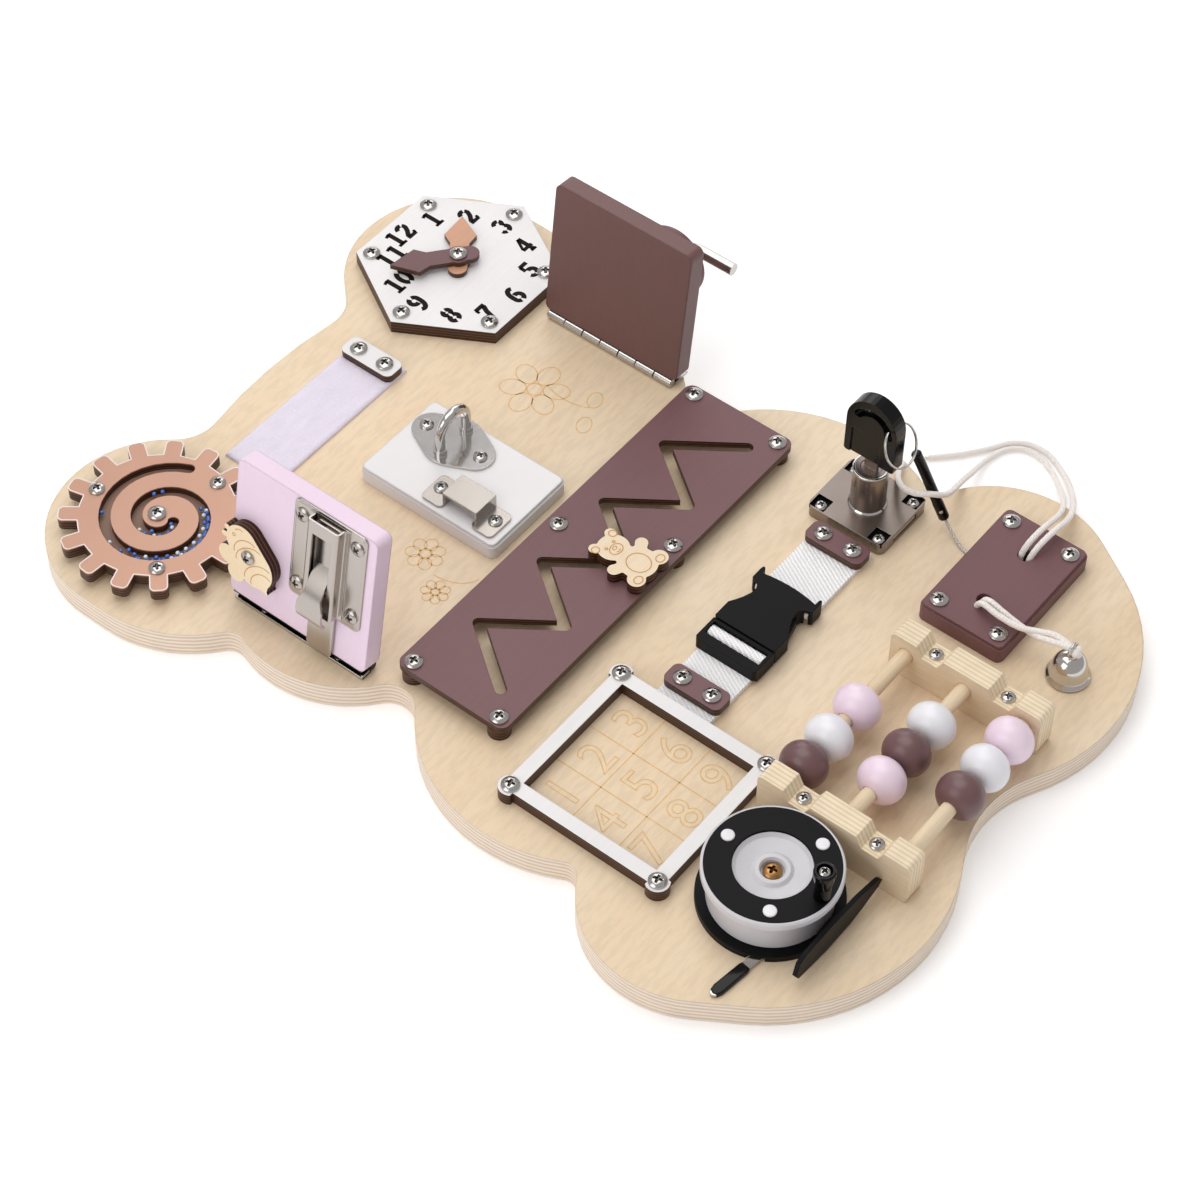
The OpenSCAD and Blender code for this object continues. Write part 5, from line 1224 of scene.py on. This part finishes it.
def split_ring():
    """A ring of two turns that lie side by side."""
    centre = Vector((117.2, -95.7, 76.15))
    wide, tall = Vector((1, 0, 0)), Vector((0, 0.5, 0.866))
    across = wide.cross(tall)
    path = []
    for k in range(2 * RING_STEPS + 1):
        a = 2 * pi * k / RING_STEPS + 0.6
        rise = k / (2 * RING_STEPS) - 0.5
        path.append(centre + (wide * cos(a) + tall * sin(a)) * RING_R + across * rise * 0.95)
    bm = bmesh.new()
    sweep(bm, path, 0.5, FLAT, 10)
    finish_piece("split_ring", bm, polished, "key_ring", 60.0, "key")


# Lock, reel and gear details
POCKET_R = 4.44 * sqrt(2)
RIVETS_R = 26
HANDLE_AT, HANDLE_TURN = (REEL[0] - 26, REEL[1] - 16, TOP + 0.2), 172


def lock_details():
    """Square pockets round the case's heads, and bright rings at the barrel's foot and mouth."""
    bm = bmesh.new()
    for i, j in CORNERS:
        spot = local((CASE[0] + 15.4 * i, CASE[1] + 18 * j, CASE_TOP))
        lathe(bm, [(0, 0.05), (POCKET_R, 0.05), (POCKET_R, 2.3)],
              spot @ Matrix.Rotation(radians(45), 4, "Z"), 4)
    finish_piece("lock_pockets", bm, black_plastic)
    bm = bmesh.new()
    axis = local((*CASE, 22.5))
    lathe(bm, [(9.25, 0.02), (10.1, 0.02), (10.2, 0.3), (10.0, 0.8), (9.6, 1.05), (9.32, 1.5),
               (9.25, 1.5)], axis, 72)
    lathe(bm, [(9.25, 25.6), (9.55, 25.8), (9.62, 26.4), (9.5, 26.9), (9.2, 27.08), (8.3, 27.1),
               (7.9, 26.9), (7.7, 26.6)], axis, 72)
    finish_piece("lock_rings", bm, polished, smooth=50.0)


def reel_details():
    """Rivets on the face, the knob's screw and the click lever's handle."""
    bm = bmesh.new()
    for a in (90, 213, 334):
        lathe(bm, [(3.3, -0.55), (3.3, 0.02), (3.1, 0.2), (2.5, 0.32), (0, 0.38)],
              local((*polar(REEL, RIVETS_R, a), REEL_TOP + 0.6)), 32)
    finish_piece("reel_rivets", bm, white_plastic, smooth=50.0, body="reel_drum")
    heads("knob_screw", [(REEL[0], REEL[1] - 27.8, REEL_TOP + 17.95, 1.0)], "reel_drum", d=6.8, h=2.8)
    bm = bmesh.new()
    m = local(HANDLE_AT, (*polar((0, 0), 1, HANDLE_TURN), 0))
    side = [(12.4, -2.4), (14.0, -2.9), (30.5, -3.0), (33.4, -2.2)]
    prism(bm, side + [(34.2, 0.0)] + [(x, -y) for x, y in reversed(side)], 0.0, 2.7, m, 0.7, 3)
    finish_piece("click_handle", bm, black_gloss, smooth=40.0, body="reel_lever")


LOOSE_BEADS = [(182, -1.6), (175, 1.4), (160, 1.7), (404, 1.7), (418, 1.6), (520, 1.6), (536, 1.7),
               (545, -1.2), (560, 1.7), (575, 1.6), (600, 1.5), (622, 0.4), (632, -1.2), (120, 1.7)]
BEAD_HALF = [(0.28, 0.95), (0.55, 0.98), (0.85, 0.72), (1.08, 0.3)]
BEAD_SHAPE = BEAD_HALF + [(1.12, 0)] + [(r, -z) for r, z in reversed(BEAD_HALF)] + BEAD_HALF[:1]


SPIRAL, SPIRAL_R, SPIRAL_FALL = (GEAR[0] + 0.3, GEAR[1] - 3.5), 35.4, 16.4
BEAD_Z, BLUE_SHARE = 24.6, 0.62
RIM_INSET, RIM_WIDTH = 0.32, 0.62


def bead_at(a, off, rng):
    """A place in the spiral channel, at an angle along it and beside its middle."""
    x, y = polar(SPIRAL, SPIRAL_R - SPIRAL_FALL * a / 360 + off, a)
    return x, y, BEAD_Z + 0.1 * rng.random()


def gear_beads():
    rng = random.Random("beads")
    spots = [(190 + 4.2 * k, 1.75 if k % 3 else -0.4) for k in range(34)] + LOOSE_BEADS
    bm = bmesh.new()
    for a, off in spots:
        at = bead_at(a + rng.uniform(-1, 1), off, rng)
        tilt = [rng.uniform(-1, 1) for _ in range(3)]
        lathe(bm, BEAD_SHAPE, local(at, (1, 0.2, 0.1), tilt), 14, 0 if rng.random() < BLUE_SHARE else 1)
    finish_piece("gear_beads", bm, [bead_blue, bead_clear], smooth=60.0, body="gear")


def rim_loop(node):
    """The longest edge of a node's highest face, as points in millimetres."""
    mesh = NODES[node].data
    top = max(v.co.z for v in mesh.vertices)
    level = {v.index for v in mesh.vertices if abs(v.co.z - top) < 1e-5}
    count = {}
    for face in mesh.polygons:
        if all(v in level for v in face.vertices):
            for key in face.edge_keys:
                count[key] = count.get(key, 0) + 1
    lines = [[mesh.vertices[at].co.xy / MM for at in line]
             for line in chains(key for key, times in count.items() if times == 1)]
    return max(lines, key=path_length), top / MM


def gear_rim_highlight():
    """The clear cover's edge as a flat pale line just inside the copper face's rim: partly its edge, partly a
    painted highlight.
    """
    line, top = rim_loop("gear_face")
    area = sum(a.x * b.y - b.x * a.y for a, b in zip(line, line[1:] + line[:1]))
    inward = 1 if area > 0 else -1
    inset = []
    for i, p in enumerate(line):
        before, after = beside(line, i, True)
        t = (after - before).normalized()
        inset.append(p + Vector((-t.y, t.x)) * inward * RIM_INSET)
    bm = bmesh.new()
    stroke(bm, inset, RIM_WIDTH, FLAT, top + 0.04, True)
    finish_piece("gear_rim_highlight", bm, clear_edge_highlight, body="gear")


# Hinges and bell
KNUCKLE_R, KNUCKLES, KNUCKLE_EASE, LEAF_LEN = 2.4, 7, 0.3, 84.0
# A leaf plate is x, width, height and slot; slot 0, the black look, is painted shade for the shadowed gap
# under the left door
LEAF_PLATES = [(-123.9, 6.4, 1.4, 0), (-127.3, 0.7, 2.0, 1), (131.6, 11.0, 1.4, 1)]
STOP_X = -124.2


def hinges():
    """Fixed leaves and knuckles: narrow on the left and black there, a painted shade; bright on the right."""
    pitch = LEAF_LEN / KNUCKLES
    half = LEAF_LEN / 2
    long = pitch - 2 * KNUCKLE_EASE
    inner = KNUCKLE_R - KNUCKLE_EASE
    profile = [(0, 0), (inner, 0), (KNUCKLE_R, KNUCKLE_EASE), (KNUCKLE_R, long - KNUCKLE_EASE),
               (inner, long), (0, long)]
    bm = bmesh.new()
    # The left hinge's knuckles take slot 0, the black look: painted shade on knuckles that lie in shadow.
    for slot, axis in enumerate((LEFT_AXIS, RIGHT_AXIS)):
        for k in range(0, KNUCKLES, 2):
            start = (axis, DOOR_Y - half + k * pitch + KNUCKLE_EASE, AXIS_Z)
            lathe(bm, profile, local(start, z=(0, 1, 0)), 24, slot)
    for x, wide, high, slot in LEAF_PLATES:
        prism(bm, round_box(wide, LEAF_LEN, 0.3, 3), 0.3, high, local((x, DOOR_Y, TOP)), 0.15, 1, slot)
    for side in PAIR:
        stop = local((STOP_X, DOOR_Y + side * (half - 0.8), TOP))
        prism(bm, round_box(5.6, 1.6, 0.4, 3), 1.4, 2.6, stop, 0.2, 1, 1)
        pan_head(bm, local((STOP_X, DOOR_Y + side * 24, TOP + 1.4)), 4.4, 0.9, 0.9 + side * 0.4, 1, 2)
    finish_piece("hinge_leaves", bm, [black_gloss, steel, recess_shade_steel], "hinge_bases")


BELL_OUTSIDE = [(10.2, 0.3), (10.9, 0.0), (11.35, 0.35), (11.4, 1.0), (11.0, 1.6), (10.2, 2.2),
                (9.6, 3.4), (9.3, 5.4), (9.0, 8.2), (8.3, 10.6), (7.0, 12.8), (5.2, 14.4), (3.2, 15.4),
                (2.6, 15.6), (2.4, 16.4), (1.6, 16.7), (0, 16.7)]
BELL_INSIDE = [(10.2, 0.3), (9.4, 1.6), (8.8, 5.4), (7.6, 10.0), (4.8, 13.6), (0, 14.8)]
KNOT = [(91.2, -221.6, 35.0, 2.3), (93.4, -221.4, 35.4, 2.2), (92.2, -222.6, 33.8, 2.0)]


def bell():
    """A flared chrome bell with a loop on its crown and a knot of the cord in it."""
    bm = bmesh.new()
    at = local((*BELL, TOP + 0.35))
    lathe(bm, BELL_OUTSIDE, at, 72)
    lathe(bm, BELL_INSIDE, at, 48)
    loop = [Vector((BELL[0] + 3.7 * c, BELL[1], TOP + 20.2 + 3.7 * s)) for c, s in circle(40)]
    sweep(bm, loop, 0.75, FLAT, 12, closed=True)
    metal_part = finish_piece("chrome_bell", bm, polished, "bell", 50.0)
    bm = bmesh.new()
    half_turn = circle(20)[:11]
    for x, y, z, r in KNOT:
        lathe(bm, [(r * s, -r * c) for c, s in half_turn], local((x, y, z)), 20)
    return metal_part, finish_piece("cord_knot", bm, cord_cotton, smooth=60.0)


webbings()
tape()
lace("lace_left", ROUTE_A, "lace_a", True)
lace("lace_right", ROUTE_B, "lace_b", True)
chrome_bell, cord_knot = bell()
lace("bell_cord", ROUTE_BELL, "bell_lace", False)
lace("bell_cord_back", ROUTE_BACK, None, False)
tether()
split_ring()
lock_details()
reel_details()
gear_beads()
gear_rim_highlight()
hinges()
